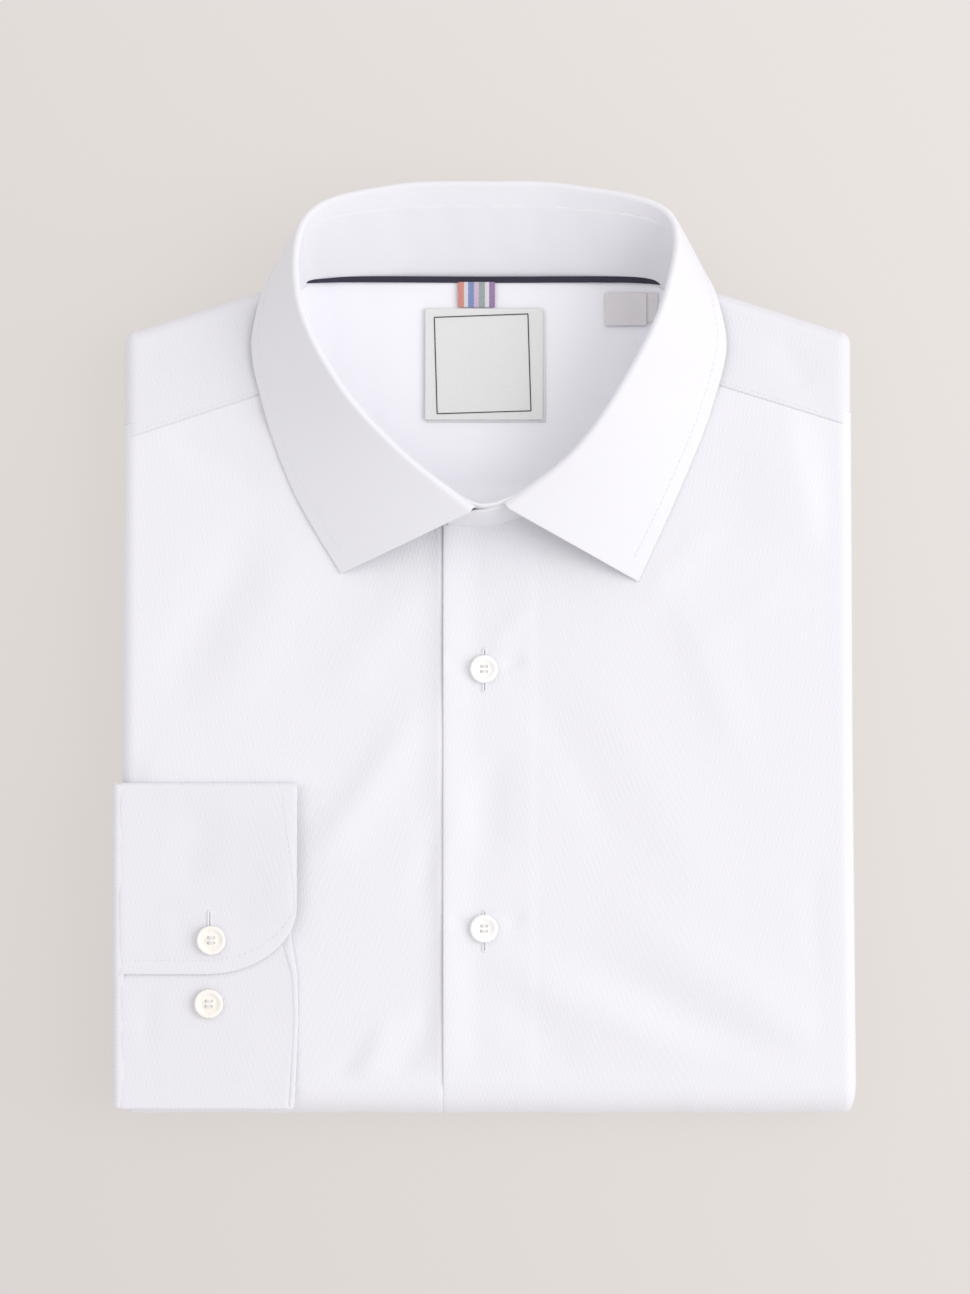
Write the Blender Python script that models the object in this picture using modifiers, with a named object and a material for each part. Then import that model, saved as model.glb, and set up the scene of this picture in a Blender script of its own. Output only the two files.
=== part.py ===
"""Folded dress shirt, lying face up on a table.

The body is folded at both sides and turned up twice at the bottom, the collar stands open round
the neck, and the right sleeve comes round the edge so that its cuff lies on the front.
Left and right in the names are the wearer's, so the left front is at +X.
Sizes below are in millimetres, with X across, +Y towards the collar and Z up from the table.
"""

import math

import bmesh
import bpy
import numpy as np

MM = 0.001
WELD = 1e-6

# Cloth
FRONT_WALL = 1.2
STAND_WALL = 1.6
LEAF_WALL = 1.4
CUFF_WALL = 1.3
LABEL_WALL = 1.0

# Room between one piece and the next: at seams, and round the hidden layers
GAP = 0.3
CORE_GAP = 0.6

# The upper fold of the body, its turn at the bottom hem and the part turned up underneath
TOP_Z = 24.0
BODY_THICK = 10.0
TURN_Y = -163.0
TURN_Z = 12.0
TURNED_THICK = 6.0
TAIL_TURN_Y = 115.0
TAIL_THICK = 4.0
TAIL_INNER_RADIUS = 0.15
TAIL_END_Y = -110.0
TAIL_TURN_Z = TURNED_THICK + TAIL_INNER_RADIUS

# Side folds of the body seen from above: a row for each height along the body
SIDE_EDGES = (
    # y, left edge x, right edge x
    (-163.0, -136.0, 138.9),
    (-50.0, -135.8, 137.6),
    (120.0, -134.8, 136.6),
)
# Side folds of the part turned up underneath
UNDER_EDGES = (
    # y, left edge x, right edge x
    (-163.0, -135.6, 137.4),
    (115.0, -132.4, 134.0),
)
SIDE_WRAP_X = 117.0

# Shoulder folds: where each meets the side fold, and its rise towards the neck
SHOULDER_CORNER_Y = 116.8
SHOULDER_SLOPE = 0.317
NECK_SIDE_X = 77.8
SHOULDER_CLEARANCE = 1.9
SHOULDER_EASE = (-10.0, -1.0)

# Upper edge of the two fronts: the yoke seams at the sides and the neckline between them
FRONT_EDGE = (
    # x, y
    (-141.0, 75.0),
    (-71.0, 98.0),
    (-58.0, 80.0),
    (-33.8, 58.2),
    (-12.0, 47.5),
    (0.0, 46.2),
    (12.0, 47.2),
    (35.5, 59.3),
    (59.5, 81.5),
    (73.0, 101.5),
    (141.0, 80.6),
)

# Front edges at the centre, and the places across each front where its shape is worked out
LEFT_FRONT_EDGE_X = -15.7
UNDERLAP_EDGE_X = 18.0
UNDERLAP_DIP = FRONT_WALL + GAP
UNDERLAP_EASE = (LEFT_FRONT_EDGE_X - 13.0, LEFT_FRONT_EDGE_X - 1.0)
LEFT_PLACES = (-7.0, 1.0, 11.0, 23.0, 35.5, 47.0, 59.5, 66.0, 73.0, 85.0, 98.0, 110.0, 122.0)
RIGHT_PLACES = (
    1.0, -12.0, -16.7, -22.0, -28.7, -37.0, -47.0, -58.0, -65.0, -71.0, -84.0, -97.0, -110.0, -122.0
)

# Soft folds of the upper face: a rounded ridge, or a trough where the height is negative
CROWN = 1.0
SOFT_FOLDS = (
    # x0, y0, x1, y1, half width, height
    (-95.0, 62.0, -124.0, 4.0, 9.0, 1.0),
    (-58.0, 21.0, -100.0, -19.0, 8.0, 0.9),
    (-17.0, -20.0, -58.0, -74.0, 8.0, 1.2),
    (-30.0, -46.0, -60.0, -60.0, 7.0, -0.9),
    (-50.0, -160.0, -21.0, -128.0, 7.0, 0.7),
    (6.0, -117.0, 57.0, -160.0, 9.0, 1.0),
    (62.0, -113.0, 117.0, -160.0, 10.0, -0.9),
    (88.0, 80.0, 113.0, 47.0, 9.0, -0.9),
    (97.0, 112.0, 117.0, 90.0, 9.0, 0.7),
)

# Collar: a row for each place round the neck, from the left leaf's front end in the picture of
# the shirt, round the back, to the right leaf's front end
COLLAR = (
    # seam x, y, z, fold x, y, z, leaf edge x, y, z, share of the stand, bulge of the leaf
    (-4.0, 46.9, 25.8, -3.7, 52.0, 46.0, -53.7, 27.3, 26.2, 0.86, 1.6),
    (-33.8, 58.2, 25.9, -31.0, 73.2, 48.4, -71.1, 57.3, 26.2, 0.87, 2.6),
    (-58.1, 80.0, 25.8, -53.7, 99.0, 50.7, -82.8, 90.1, 26.0, 0.86, 3.6),
    (-74.5, 108.0, 25.2, -67.6, 130.0, 49.3, -86.4, 118.0, 26.0, 0.84, 3.0),
    (-69.0, 134.6, 18.6, -64.0, 160.5, 36.5, -72.0, 146.0, 12.0, 0.80, 1.4),
    (-34.0, 138.1, 14.2, -34.6, 171.2, 28.9, -35.0, 138.0, 1.8, 0.77, 2.2),
    (0.0, 138.6, 13.4, 0.0, 172.7, 27.5, 0.0, 137.0, 1.2, 0.76, 2.0),
    (34.0, 138.1, 14.2, 32.5, 171.2, 28.8, 35.0, 138.0, 1.8, 0.77, 2.2),
    (67.5, 134.4, 18.4, 67.0, 160.5, 37.5, 74.0, 146.0, 12.0, 0.80, 1.4),
    (74.5, 109.5, 25.2, 65.6, 130.4, 49.2, 89.4, 118.0, 26.0, 0.84, 3.0),
    (59.5, 81.5, 25.8, 50.6, 98.5, 50.5, 84.8, 90.0, 26.0, 0.86, 3.6),
    (35.5, 59.3, 25.9, 31.4, 71.6, 48.4, 71.4, 55.8, 26.2, 0.87, 2.6),
    (6.0, 46.2, 25.8, 6.8, 50.3, 45.5, 57.1, 24.3, 26.2, 0.86, 1.6),
)
# The stand's two ends run on past the leaf and cross at the front
STAND_INNER_END = (
    # seam x, y, z, fold x, y, z, share of the stand
    (12.0, 50.6, 25.8, 13.0, 57.6, 44.0, 0.95),
    (-4.0, 48.8, 25.8, -4.5, 52.4, 46.0, 0.86),
)
STAND_OUTER_END = (
    # seam x, y, z, fold x, y, z, share of the stand
    (6.0, 46.2, 25.8, 6.8, 50.3, 45.5, 0.86),
    (-14.0, 44.4, 25.6, -13.5, 46.4, 41.5, 0.93),
)
COLLAR_STEPS = 4
LEAF_ROLL_RADIUS = 1.8
LEAF_CLEARANCE = 0.3
LEAF_OVER_FRONTS_Y = 100.0
LEAF_OVER_YOKE_X = 74.8

# Yoke: its layers round the neck
YOKE_ACROSS = (0.0, 0.22, 0.48, 0.74)
YOKE_CENTRE = (-55.0, 0.0, 55.0)
YOKE_ROWS = (
    # share of the way to the shoulder fold, left and right x of the neckline, angle round the fold
    (0.0, -71.2, 73.3, 0.0),
    (0.33, -75.8, 76.2, 0.0),
    (0.67, -77.6, 77.6, 0.0),
    (1.0, -NECK_SIDE_X, NECK_SIDE_X, 0.0),
    (1.0, -NECK_SIDE_X, NECK_SIDE_X, 30.0),
    (1.0, -NECK_SIDE_X, NECK_SIDE_X, 60.0),
    (1.0, -NECK_SIDE_X, NECK_SIDE_X, 90.0),
)
YOKE_BACK_HEM_Y = 98.0
YOKE_BACK_NECK_Y = 137.6
YOKE_BACK_DROP = 2.8

# Inside of the neck: the inner yoke slopes down from the fronts to the back neck
INNER_YOKE_FRONT_Y = 52.0
INNER_YOKE_BACK_Y = 137.3
INNER_YOKE_FRONT_Z = 20.5
INNER_YOKE_BACK_Z = 14.6
INNER_YOKE_FRONT_GAP = 5.8
INNER_YOKE_SECTION = (
    # distance from the middle, rise towards the neckline, y of the back edge
    (0.0, 0.0, 137.3),
    (22.0, 0.0, 137.1),
    (43.0, 0.2, 136.0),
    (58.0, 1.3, 135.3),
    (66.5, 3.0, 132.8),
    (73.0, 5.0, 121.5),
)

# Hidden layers: places across them, where they start below the yoke seams and under the neck, and
# how near they come to the face that lies inside the fold
CORE_PLACES = (-120.0, -84.0, -76.0, -50.0, -30.0, -17.0, 19.5, 31.0, 50.0, 76.0, 84.0, 120.0)
CORE_CENTRE = (-31.0, 20.0)
CORE_START_DROP = 5.0
NECK_CORE_Y = 78.0
NECK_CORE_ROW = 14.0
HIDDEN_FACE_INSET = 0.2
HIDDEN_FACE_HALF = 100.0
TAIL_ROWS = (
    # y, angle of the rounding at the hem
    (TAIL_TURN_Y - 4.0, 0.0),
    (TAIL_END_Y + 2.0, 0.0),
    (TAIL_END_Y, 90.0),
)

# Cuff: a flattened band, its button end under its buttonhole end
CUFF_SEAM_X = -136.4
CUFF_TOP_Y = -50.5
CUFF_BOTTOM_Y = -172.4
CUFF_OVERLAP_END_Y = -121.9
CUFF_UNDER_END_Y = -95.0
CUFF_WRIST_X = (-69.9, -72.3, -69.7)
CUFF_CORNER = 24.0
CUFF_UNDER_CORNER = 20.0
CUFF_LAYER = CUFF_WALL + GAP
CUFF_REST = GAP + CUFF_WALL / 2
CUFF_LEVEL_X = -124.0
CUFF_LEVEL_Y = -140.0
CUFF_PLACES = (0.0, 0.24, 0.46, 0.64, 0.78, 0.895, 0.97, 1.0)

# Right sleeve: a flattened tube that comes out between the layers and round the side fold
SLEEVE_HALF = 1.1
RIGHT_SLEEVE = (
    # x, z, lower edge y, upper edge y
    (-137.8, 27.0, -172.2, -50.8),
    (-137.8, 25.0, -172.2, -50.8),
    (-137.8, 22.2, -171.6, -50.9),
    (-137.8, 19.0, -170.0, -51.2),
    (-137.7, 16.0, -167.0, -51.6),
    (-137.2, 13.3, -163.0, -52.2),
    (-134.6, 11.9, -159.5, -53.0),
    (-126.0, 11.9, -158.0, -54.0),
    (-60.0, 11.9, -158.0, -54.0),
    (-8.0, 11.9, -156.0, -50.0),
)
# Left sleeve: the same flattened tube, folded behind the body
LEFT_SLEEVE = (
    # x, z, lower edge y, upper edge y
    (134.6, 11.9, -60.0, 88.0),
    (90.0, 11.9, -110.0, 70.0),
    (40.0, 11.9, -157.0, 10.0),
    (4.0, 11.9, -157.0, -38.0),
)

# Tape, loop and labels inside the neck
TAPE_HALF = 69.3
TAPE_WIDTH = 2.6
TAPE_WALL = 0.9
LOOP = (-10.1, 3.7, 127.4, 137.0)
NECK_LABEL = (-22.5, 21.7, 85.0, 127.0)
CARE_LABEL = (45.0, 60.6, 120.4, 132.8)

# Buttons
BUTTON_RADIUS = 5.2
CUFF_BUTTON_RADIUS = 5.4
BUTTON_STEPS = 16
BUTTON_PROFILE = (
    # share of the radius, height above the cloth side
    (0.0, 1.5),
    (0.56, 1.5),
    (0.68, 2.1),
    (0.86, 2.3),
    (0.98, 1.7),
    (1.0, 1.1),
    (0.88, 0.3),
    (0.6, 0.0),
    (0.0, 0.0),
)
FRONT_BUTTONS = ((-0.4, -8.2), (-0.4, -104.9))
CUFF_BUTTONS = ((-101.8, -109.0, 2), (-102.8, -132.7, 1))
BUTTON_CLEARANCE = 0.35

UP = (0.0, 0.0, 1.0)


def clear_scene():
    """Remove every object that the new file starts with."""
    for obj in list(bpy.data.objects):
        bpy.data.objects.remove(obj, do_unlink=True)


def finish(name, colour, roughness, sheen=0.0):
    """A plain Principled material."""
    material = bpy.data.materials.new(name)
    material.use_nodes = True
    shader = material.node_tree.nodes["Principled BSDF"]
    shader.inputs["Base Color"].default_value = (*colour, 1.0)
    shader.inputs["Roughness"].default_value = roughness
    shader.inputs["Metallic"].default_value = 0.0
    shader.inputs["Sheen Weight"].default_value = sheen
    material.diffuse_color = (*colour, 1.0)
    return material


def smooth(low, high, value):
    """0 below low, 1 above high, and an even ease between them."""
    share = np.clip((value - low) / (high - low), 0.0, 1.0)
    return share * share * (3.0 - 2.0 * share)


def along_table(table, first, column):
    """Straight-line reading of one column of a table against its first column."""
    rows = np.array(table)
    return np.interp(first, rows[:, 0], rows[:, column])


def rounded_through(table, count):
    """Points on a smooth curve through the rows of a table, the rows evenly spaced."""
    rows = np.array(table, dtype=float)
    last = len(rows) - 1
    place = np.linspace(0.0, last, count)
    start = np.minimum(place.astype(int), last - 1)
    t = (place - start)[:, None]
    before = rows[np.maximum(start - 1, 0)]
    here = rows[start]
    there = rows[start + 1]
    beyond = rows[np.minimum(start + 2, last)]
    return 0.5 * (
        2.0 * here
        + (there - before) * t
        + (2.0 * before - 5.0 * here + 4.0 * there - beyond) * t**2
        + (3.0 * here - before - 3.0 * there + beyond) * t**3
    )


def unit(vectors):
    """Each vector made one long."""
    return vectors / np.linalg.norm(vectors, axis=-1, keepdims=True)


def surface_object(name, points, material, outward, ring=False, capped=False, welded=False):
    """A mesh through a grid of points in millimetres.

    outward gives a row, a column and the direction that the face there looks to.
    """
    rows, across = points.shape[:2]
    row, column, direction = outward
    beside = (column + 1) % across
    side_a = points[row, beside] - points[row, column]
    side_b = points[row + 1, column] - points[row, column]
    turned = np.dot(np.cross(side_a, side_b), direction) < 0.0

    mesh = bpy.data.meshes.new(name)
    shape = bmesh.new()
    corners = [[shape.verts.new(point) for point in line] for line in points * MM]
    for line, following in zip(corners, corners[1:]):
        for j in range(across if ring else across - 1):
            k = (j + 1) % across
            loop = [line[j], line[k], following[k], following[j]]
            shape.faces.new(loop[::-1] if turned else loop)
    if capped:
        shape.faces.new(corners[0] if turned else corners[0][::-1])
        shape.faces.new(corners[-1][::-1] if turned else corners[-1])
    if welded:
        bmesh.ops.remove_doubles(shape, verts=shape.verts, dist=WELD)
    shape.to_mesh(mesh)
    shape.free()
    mesh.shade_smooth()
    mesh.materials.append(material)
    obj = bpy.data.objects.new(name, mesh)
    SHIRT.objects.link(obj)
    return obj


def give_wall(obj, thickness, offset):
    """Cloth of one thickness: offset -1 puts it inside the surface, 0 half on each side."""
    wall = obj.modifiers.new("Cloth", "SOLIDIFY")
    wall.thickness = thickness * MM
    wall.offset = offset
    wall.use_even_offset = True


# The folded body as a flattened tube carried along its path: down the front, round the bottom
# turn, up underneath, and round the second turn. A depth is measured in from the outer face.


def shoulder_y(x):
    """Height of the shoulder fold above the picture's lower edge, at x."""
    corner_x = np.where(x < 0.0, 134.8, 136.6)
    return SHOULDER_CORNER_Y + (corner_x - np.abs(x)) * SHOULDER_SLOPE


def lift(x, y):
    """How far the upper face stands above TOP_Z: a low crown and the soft folds."""
    x, y = np.broadcast_arrays(np.asarray(x, dtype=float), np.asarray(y, dtype=float))
    height = CROWN * (1.0 - (x / 131.0) ** 2)
    for x0, y0, x1, y1, half_width, tall in SOFT_FOLDS:
        run = np.array([x1 - x0, y1 - y0])
        length = np.hypot(*run)
        along = ((x - x0) * run[0] + (y - y0) * run[1]) / length
        aside = ((x - x0) * run[1] - (y - y0) * run[0]) / length
        ends = smooth(-0.25 * length, 0.3 * length, along)
        ends = ends * (1.0 - smooth(0.7 * length, 1.25 * length, along))
        height = height + tall * ends * np.exp(-((aside / half_width) ** 2))
    side_room = 131.0 - np.abs(x)
    height = height * smooth(0.0, 14.0, side_room)
    height = height * smooth(TURN_Y, TURN_Y + 22.0, y)
    return height * smooth(0.0, 16.0, shoulder_y(x) - BODY_THICK / 2 - y)


def underlap_dip(x):
    """How far the right front sinks to pass under the left front."""
    return UNDERLAP_DIP * smooth(*UNDERLAP_EASE, x)


def upper_face(x, y):
    """Height of the outer face of the body, rounded off at the shoulder fold."""
    radius = BODY_THICK / 2
    past = np.clip(y - (shoulder_y(x) - radius), 0.0, radius)
    fall = radius - np.sqrt(radius**2 - past**2)
    return TOP_Z + lift(x, y) - fall


def clear_of_body(points, above):
    """Points moved up off the fronts and out from the shoulder folds, where they are too near."""
    x, y, z = np.moveaxis(points, -1, 0)
    middle_y = shoulder_y(x) - BODY_THICK / 2
    middle_z = TOP_Z + lift(x, y) - BODY_THICK / 2
    past = y - middle_y
    away = np.hypot(past, z - middle_z)
    reach = BODY_THICK / 2 + above + SHOULDER_CLEARANCE * smooth(*SHOULDER_EASE, past)
    scale = np.maximum(reach / away, 1.0)
    over_yoke = np.abs(x) > LEAF_OVER_YOKE_X
    over_fold = (past > 0.0) & over_yoke
    over_front = (past <= 0.0) & (over_yoke | (y < LEAF_OVER_FRONTS_Y))
    z = np.where(over_front, np.maximum(z, middle_z + reach), z)
    moved_y = np.where(over_fold, middle_y + past * scale, y)
    moved_z = np.where(over_fold, middle_z + (z - middle_z) * scale, z)
    return np.stack([x, moved_y, moved_z], axis=-1)


def thickness_at(stretch, t):
    """Thickness of the flattened tube along its path."""
    share = t / math.pi
    return {
        "front": BODY_THICK,
        "turn": BODY_THICK + (TURNED_THICK - BODY_THICK) * share,
        "under": TURNED_THICK,
        "tail turn": TURNED_THICK + (TAIL_THICK - TURNED_THICK) * share,
        "tail": TAIL_THICK,
    }[stretch]


def edges_at(stretch, t, y):
    """Left and right edges of the flattened tube along its path."""
    upper = [along_table(SIDE_EDGES, y, side) for side in (1, 2)]
    under = [along_table(UNDER_EDGES, y, side) for side in (1, 2)]
    if stretch == "front":
        return upper
    if stretch == "turn":
        share = t / math.pi
        return [a + (b - a) * share for a, b in zip(upper, under)]
    if stretch == "tail":
        return [under[0] + 2.0, under[1] - 2.0]
    return under


def laid(stretch, t, x, y, depth):
    """Points at x, at a depth below the outer face, at a place along the path.

    t is the angle round a turn; elsewhere y gives the place.
    """
    if stretch == "front":
        share = 1.0 - depth / BODY_THICK
        return np.stack([x, y, TOP_Z - depth + lift(x, y) * share], axis=-1)
    if stretch == "turn":
        reach = TURN_Z - depth
        return np.stack([x, TURN_Y - reach * math.sin(t), TURN_Z + reach * math.cos(t)], axis=-1)
    if stretch == "under":
        return np.stack([x, y, depth], axis=-1)
    if stretch == "tail turn":
        reach = TAIL_INNER_RADIUS + thickness_at(stretch, t) - depth
        return np.stack(
            [x, TAIL_TURN_Y + reach * math.sin(t), TAIL_TURN_Z - reach * math.cos(t)], axis=-1
        )
    outer_z = TAIL_TURN_Z + TAIL_INNER_RADIUS + TAIL_THICK
    return np.stack([x, y, outer_z - depth], axis=-1)


class Across:
    """Places round the flattened tube: across its outer face, round a side fold, and back."""

    def __init__(self):
        self.x = []
        self.side = []
        self.angle = []

    def face(self, places, under=False):
        """Places across the outer face, or across the hidden face under it."""
        self.x += list(places)
        self.side += [0.0] * len(places)
        self.angle += [math.pi if under else 0.0] * len(places)
        return self

    def fold(self, side, upward=False, steps=6):
        """Even steps round the left (-1) or the right (+1) side fold."""
        turns = [math.pi * step / steps for step in range(steps + 1)]
        self.x += [0.0] * len(turns)
        self.side += [float(side)] * len(turns)
        self.angle += turns[::-1] if upward else turns
        return self

    def section(self, thick, edges, inset, squeeze=1.0):
        """x and depth of each place on the section that lies inset inside the outer one."""
        side = np.array(self.side)
        radius = (thick / 2 - inset) * squeeze
        depth = thick / 2 - radius * np.cos(self.angle)
        edge = np.where(side < 0.0, -edges[0], edges[1])
        folded = side * (edge - thick / 2 + radius * np.sin(self.angle))
        return np.where(side == 0.0, self.x, folded), depth


def body_rows(front_steps, turn_steps=6, under_steps=2, tail_turn_steps=4):
    """Rows along the path, from the upper edge of a front to the end of the second turn."""
    rows = [("front", 0.0, step / front_steps) for step in range(front_steps + 1)]
    rows += [("turn", math.pi * step / turn_steps, 0.0) for step in range(1, turn_steps + 1)]
    rows += [("under", 0.0, step / under_steps) for step in range(1, under_steps + 1)]
    quarter = math.pi / tail_turn_steps
    rows += [("tail turn", quarter * step, 0.0) for step in range(1, tail_turn_steps + 1)]
    return rows


def row_y(stretch, share, upper_y):
    """y along a row: shares run down the front and up underneath."""
    if stretch == "front":
        return upper_y + (TURN_Y - upper_y) * share
    if stretch == "turn":
        return np.full_like(upper_y, TURN_Y)
    if stretch == "under":
        return np.full_like(upper_y, TURN_Y + (TAIL_TURN_Y - TURN_Y) * share)
    return np.full_like(upper_y, TAIL_TURN_Y)


def body_grid(across, rows, upper_y, inset_at):
    """Points of one skin of the folded body; inset_at gives its depth on each stretch."""
    grid = []
    for stretch, t, share in rows:
        y = row_y(stretch, share, upper_y)
        edges = edges_at(stretch, t, y)
        x, depth = across.section(thickness_at(stretch, t), edges, inset_at(stretch))
        grid.append(laid(stretch, t, x, y, depth))
    return np.array(grid)


def front_edge_y(across, drop=0.0):
    """y of the fronts' upper edge at each place across the body."""
    x, _ = across.section(BODY_THICK, edges_at("front", 0.0, 80.0), 0.0)
    return along_table(FRONT_EDGE, x, 1) - drop


def make_front(name, places, side, dip, material):
    """One front: from its centre edge round the side fold, and from the yoke to the tail."""
    across = Across().face(places).fold(side).face([side * SIDE_WRAP_X], under=True)
    inset = np.where(np.array(across.side) == 0.0, dip(np.array(across.x)), 0.0)
    grid = body_grid(across, body_rows(15), front_edge_y(across), lambda stretch: inset)
    front = surface_object(name, grid, material, (4, 3, UP))
    give_wall(front, FRONT_WALL, -1.0)


def make_fronts(material):
    """The left front lies on the right front at the centre."""
    left = (LEFT_FRONT_EDGE_X,) + LEFT_PLACES
    right = (UNDERLAP_EDGE_X,) + RIGHT_PLACES
    make_front("front_left", left, 1, np.zeros_like, material)
    make_front("front_right", right, -1, underlap_dip, material)


def inner_yoke_z(x, y):
    """Upper side of the inner yoke: it slopes down to the back and rises at the neckline."""
    share = (y - INNER_YOKE_FRONT_Y) / (INNER_YOKE_BACK_Y - INNER_YOKE_FRONT_Y)
    slope = INNER_YOKE_FRONT_Z + (INNER_YOKE_BACK_Z - INNER_YOKE_FRONT_Z) * share
    return slope + along_table(INNER_YOKE_SECTION, np.abs(x), 1)


def opposite_places(faces, total):
    """Index of the place straight through the tube from each place round it."""
    folds = (total - 2 * faces) // 2
    face = [faces + folds + faces - 1 - i for i in range(faces)]
    fold = [faces + folds - 1 - i for i in range(folds)]
    under = [faces - 1 - i for i in range(faces)]
    other_fold = [total - 1 - i for i in range(folds)]
    return np.array(face + fold + under + other_fold)


def squeezed(row, across_from, squeeze):
    """The row with its thickness drawn in towards its middle."""
    middle = 0.5 * (row[:, 2] + row[across_from, 2])
    row[:, 2] = middle + (row[:, 2] - middle) * squeeze
    return row


def below_inner_yoke(row, places):
    """The row with some of its places kept clear under the inner yoke."""
    room = inner_yoke_z(row[:, 0], row[:, 1]) - FRONT_WALL - CORE_GAP
    row[places, 2] = np.minimum(row[places, 2], room[places])
    return row


def make_folded_back(material):
    """Back, tails and all hidden layers: one solid inside the fronts and the yoke."""
    across = Across().face(CORE_PLACES).fold(1)
    across.face(CORE_PLACES[::-1], under=True).fold(-1, upward=True)
    x_of = np.array(across.x)
    on_face = np.array(across.side) == 0.0
    outer = on_face & (np.array(across.angle) == 0.0)
    under = on_face & ~outer
    at_centre = (x_of > CORE_CENTRE[0]) & (x_of < CORE_CENTRE[1])
    in_neck = on_face & (np.abs(x_of) < NECK_SIDE_X)
    across_from = opposite_places(len(CORE_PLACES), len(across.x))

    clear = FRONT_WALL + CORE_GAP
    below_underlap = 2.0 * FRONT_WALL + 2.0 * GAP + 0.1

    def inset_at(stretch):
        inset = np.full(len(x_of), 0.0 if stretch == "tail" else clear)
        if stretch == "front":
            inset[outer] = below_underlap
        elif stretch != "tail":
            inset[outer & at_centre] = below_underlap
            inset[under & (np.abs(x_of) < HIDDEN_FACE_HALF)] = HIDDEN_FACE_INSET
        return inset

    start = front_edge_y(across, CORE_START_DROP)
    start = np.where(in_neck, np.minimum(start, NECK_CORE_Y - NECK_CORE_ROW), start)
    body = body_grid(across, body_rows(9), start, inset_at)
    body[0] = below_inner_yoke(body[0], outer & in_neck)

    radius = BODY_THICK / 2 - clear
    edges = edges_at("front", 0.0, 110.0)
    root_x, _ = across.section(BODY_THICK, edges, inset_at("front"), squeeze=0.0)
    end = np.where(in_neck, NECK_CORE_Y, shoulder_y(root_x) - clear)
    shoulder_end = []
    for turn in (90.0, 60.0, 30.0, 0.0):
        squeeze = math.cos(math.radians(turn))
        y = end - radius * (1.0 - math.sin(math.radians(turn)))
        x, _ = across.section(BODY_THICK, edges, inset_at("front"), squeeze)
        _, depth = across.section(BODY_THICK, edges, inset_at("front"))
        row = below_inner_yoke(laid("front", 0.0, x, y, depth), outer & in_neck)
        shoulder_end.append(squeezed(row, across_from, squeeze))

    tail_end = []
    for y, turn in TAIL_ROWS:
        squeeze = math.cos(math.radians(turn))
        places = np.full(len(x_of), y)
        x, depth = across.section(
            TAIL_THICK, edges_at("tail", 0.0, places), inset_at("tail"), squeeze
        )
        tail_end.append(laid("tail", 0.0, x, places, depth))

    grid = np.concatenate([shoulder_end, body, tail_end])
    surface_object("folded_back", grid, material, (8, 3, UP), ring=True, welded=True)


def make_yoke_outer(material):
    """The yoke's outer layer: both shoulders, over their folds, and below the back neck."""
    radius = BODY_THICK / 2
    edges = [float(edge) for edge in edges_at("front", 0.0, 110.0)]
    roots = {-1: -edges[0] - radius, 1: edges[1] - radius}

    def places(side, neck_x):
        return neck_x + (side * roots[side] - neck_x) * np.array(YOKE_ACROSS)

    def across_at(left_x, right_x):
        """Left shoulder, its side fold and underside, back neck, and the right ones back up."""
        across = Across().face(places(-1, left_x)).fold(-1)
        across.face(places(-1, -NECK_SIDE_X)[::-1], under=True).face(YOKE_CENTRE, under=True)
        across.face(places(1, NECK_SIDE_X), under=True).fold(1, upward=True)
        return across.face(places(1, right_x)[::-1])

    start_x, _ = across_at(*YOKE_ROWS[0][1:3]).section(BODY_THICK, edges, 0.0)
    end_x, _ = across_at(-NECK_SIDE_X, NECK_SIDE_X).section(BODY_THICK, edges, 0.0, squeeze=0.0)
    seam_y = along_table(FRONT_EDGE, start_x, 1) + GAP
    fold_y = shoulder_y(end_x)
    centre = np.abs(end_x) < NECK_SIDE_X - 1.0
    grid = []
    for index, (share, left_x, right_x, turn) in enumerate(YOKE_ROWS):
        angle = math.radians(turn)
        x, depth = across_at(left_x, right_x).section(BODY_THICK, edges, 0.0, math.cos(angle))
        y = seam_y + (fold_y - radius - seam_y) * share + radius * math.sin(angle)
        row = laid("front", 0.0, x, y, depth)
        down = index / (len(YOKE_ROWS) - 1)
        row[centre, 1] = YOKE_BACK_HEM_Y + (YOKE_BACK_NECK_Y - YOKE_BACK_HEM_Y) * down
        row[centre, 2] = TOP_Z - BODY_THICK - YOKE_BACK_DROP * down
        grid.append(row)
    yoke = surface_object("yoke_outer", np.array(grid), material, (0, 1, UP), welded=True)
    give_wall(yoke, FRONT_WALL, -1.0)


def make_yoke_inner(material):
    """What shows inside the neck: the wrong side of the yoke, down to the fronts."""
    aside = [row[0] for row in INNER_YOKE_SECTION]
    places = np.array([-x for x in aside[:0:-1]] + aside)
    front = along_table(FRONT_EDGE, places, 1) + INNER_YOKE_FRONT_GAP
    back = along_table(INNER_YOKE_SECTION, np.abs(places), 2)
    y = front + (back - front) * np.linspace(0.0, 1.0, 9)[:, None]
    x = np.broadcast_to(places, y.shape)
    grid = np.stack([x, y, inner_yoke_z(x, y)], axis=-1)
    yoke = surface_object("yoke_inner", grid, material, (3, 3, UP))
    give_wall(yoke, FRONT_WALL, -1.0)


def make_collar_stand(material):
    """A band that stands up from the neckline, its right end outside its left end in front."""
    table = list(STAND_INNER_END)
    table += [row[0:6] + row[9:10] for row in COLLAR[1:-1]]
    table += STAND_OUTER_END
    rows = rounded_through(table, COLLAR_STEPS * (len(table) - 1) + 1)
    seam, fold, share = rows[:, 0:3], rows[:, 3:6], rows[:, 6:7]
    top = seam + (fold - seam) * share
    grid = np.stack([seam + (top - seam) * part for part in (0.0, 0.5, 1.0)], axis=1)
    stand = surface_object("collar_stand", grid, material, (len(rows) // 2, 0, UP))
    give_wall(stand, STAND_WALL, 0.0)
    return seam, fold


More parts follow.
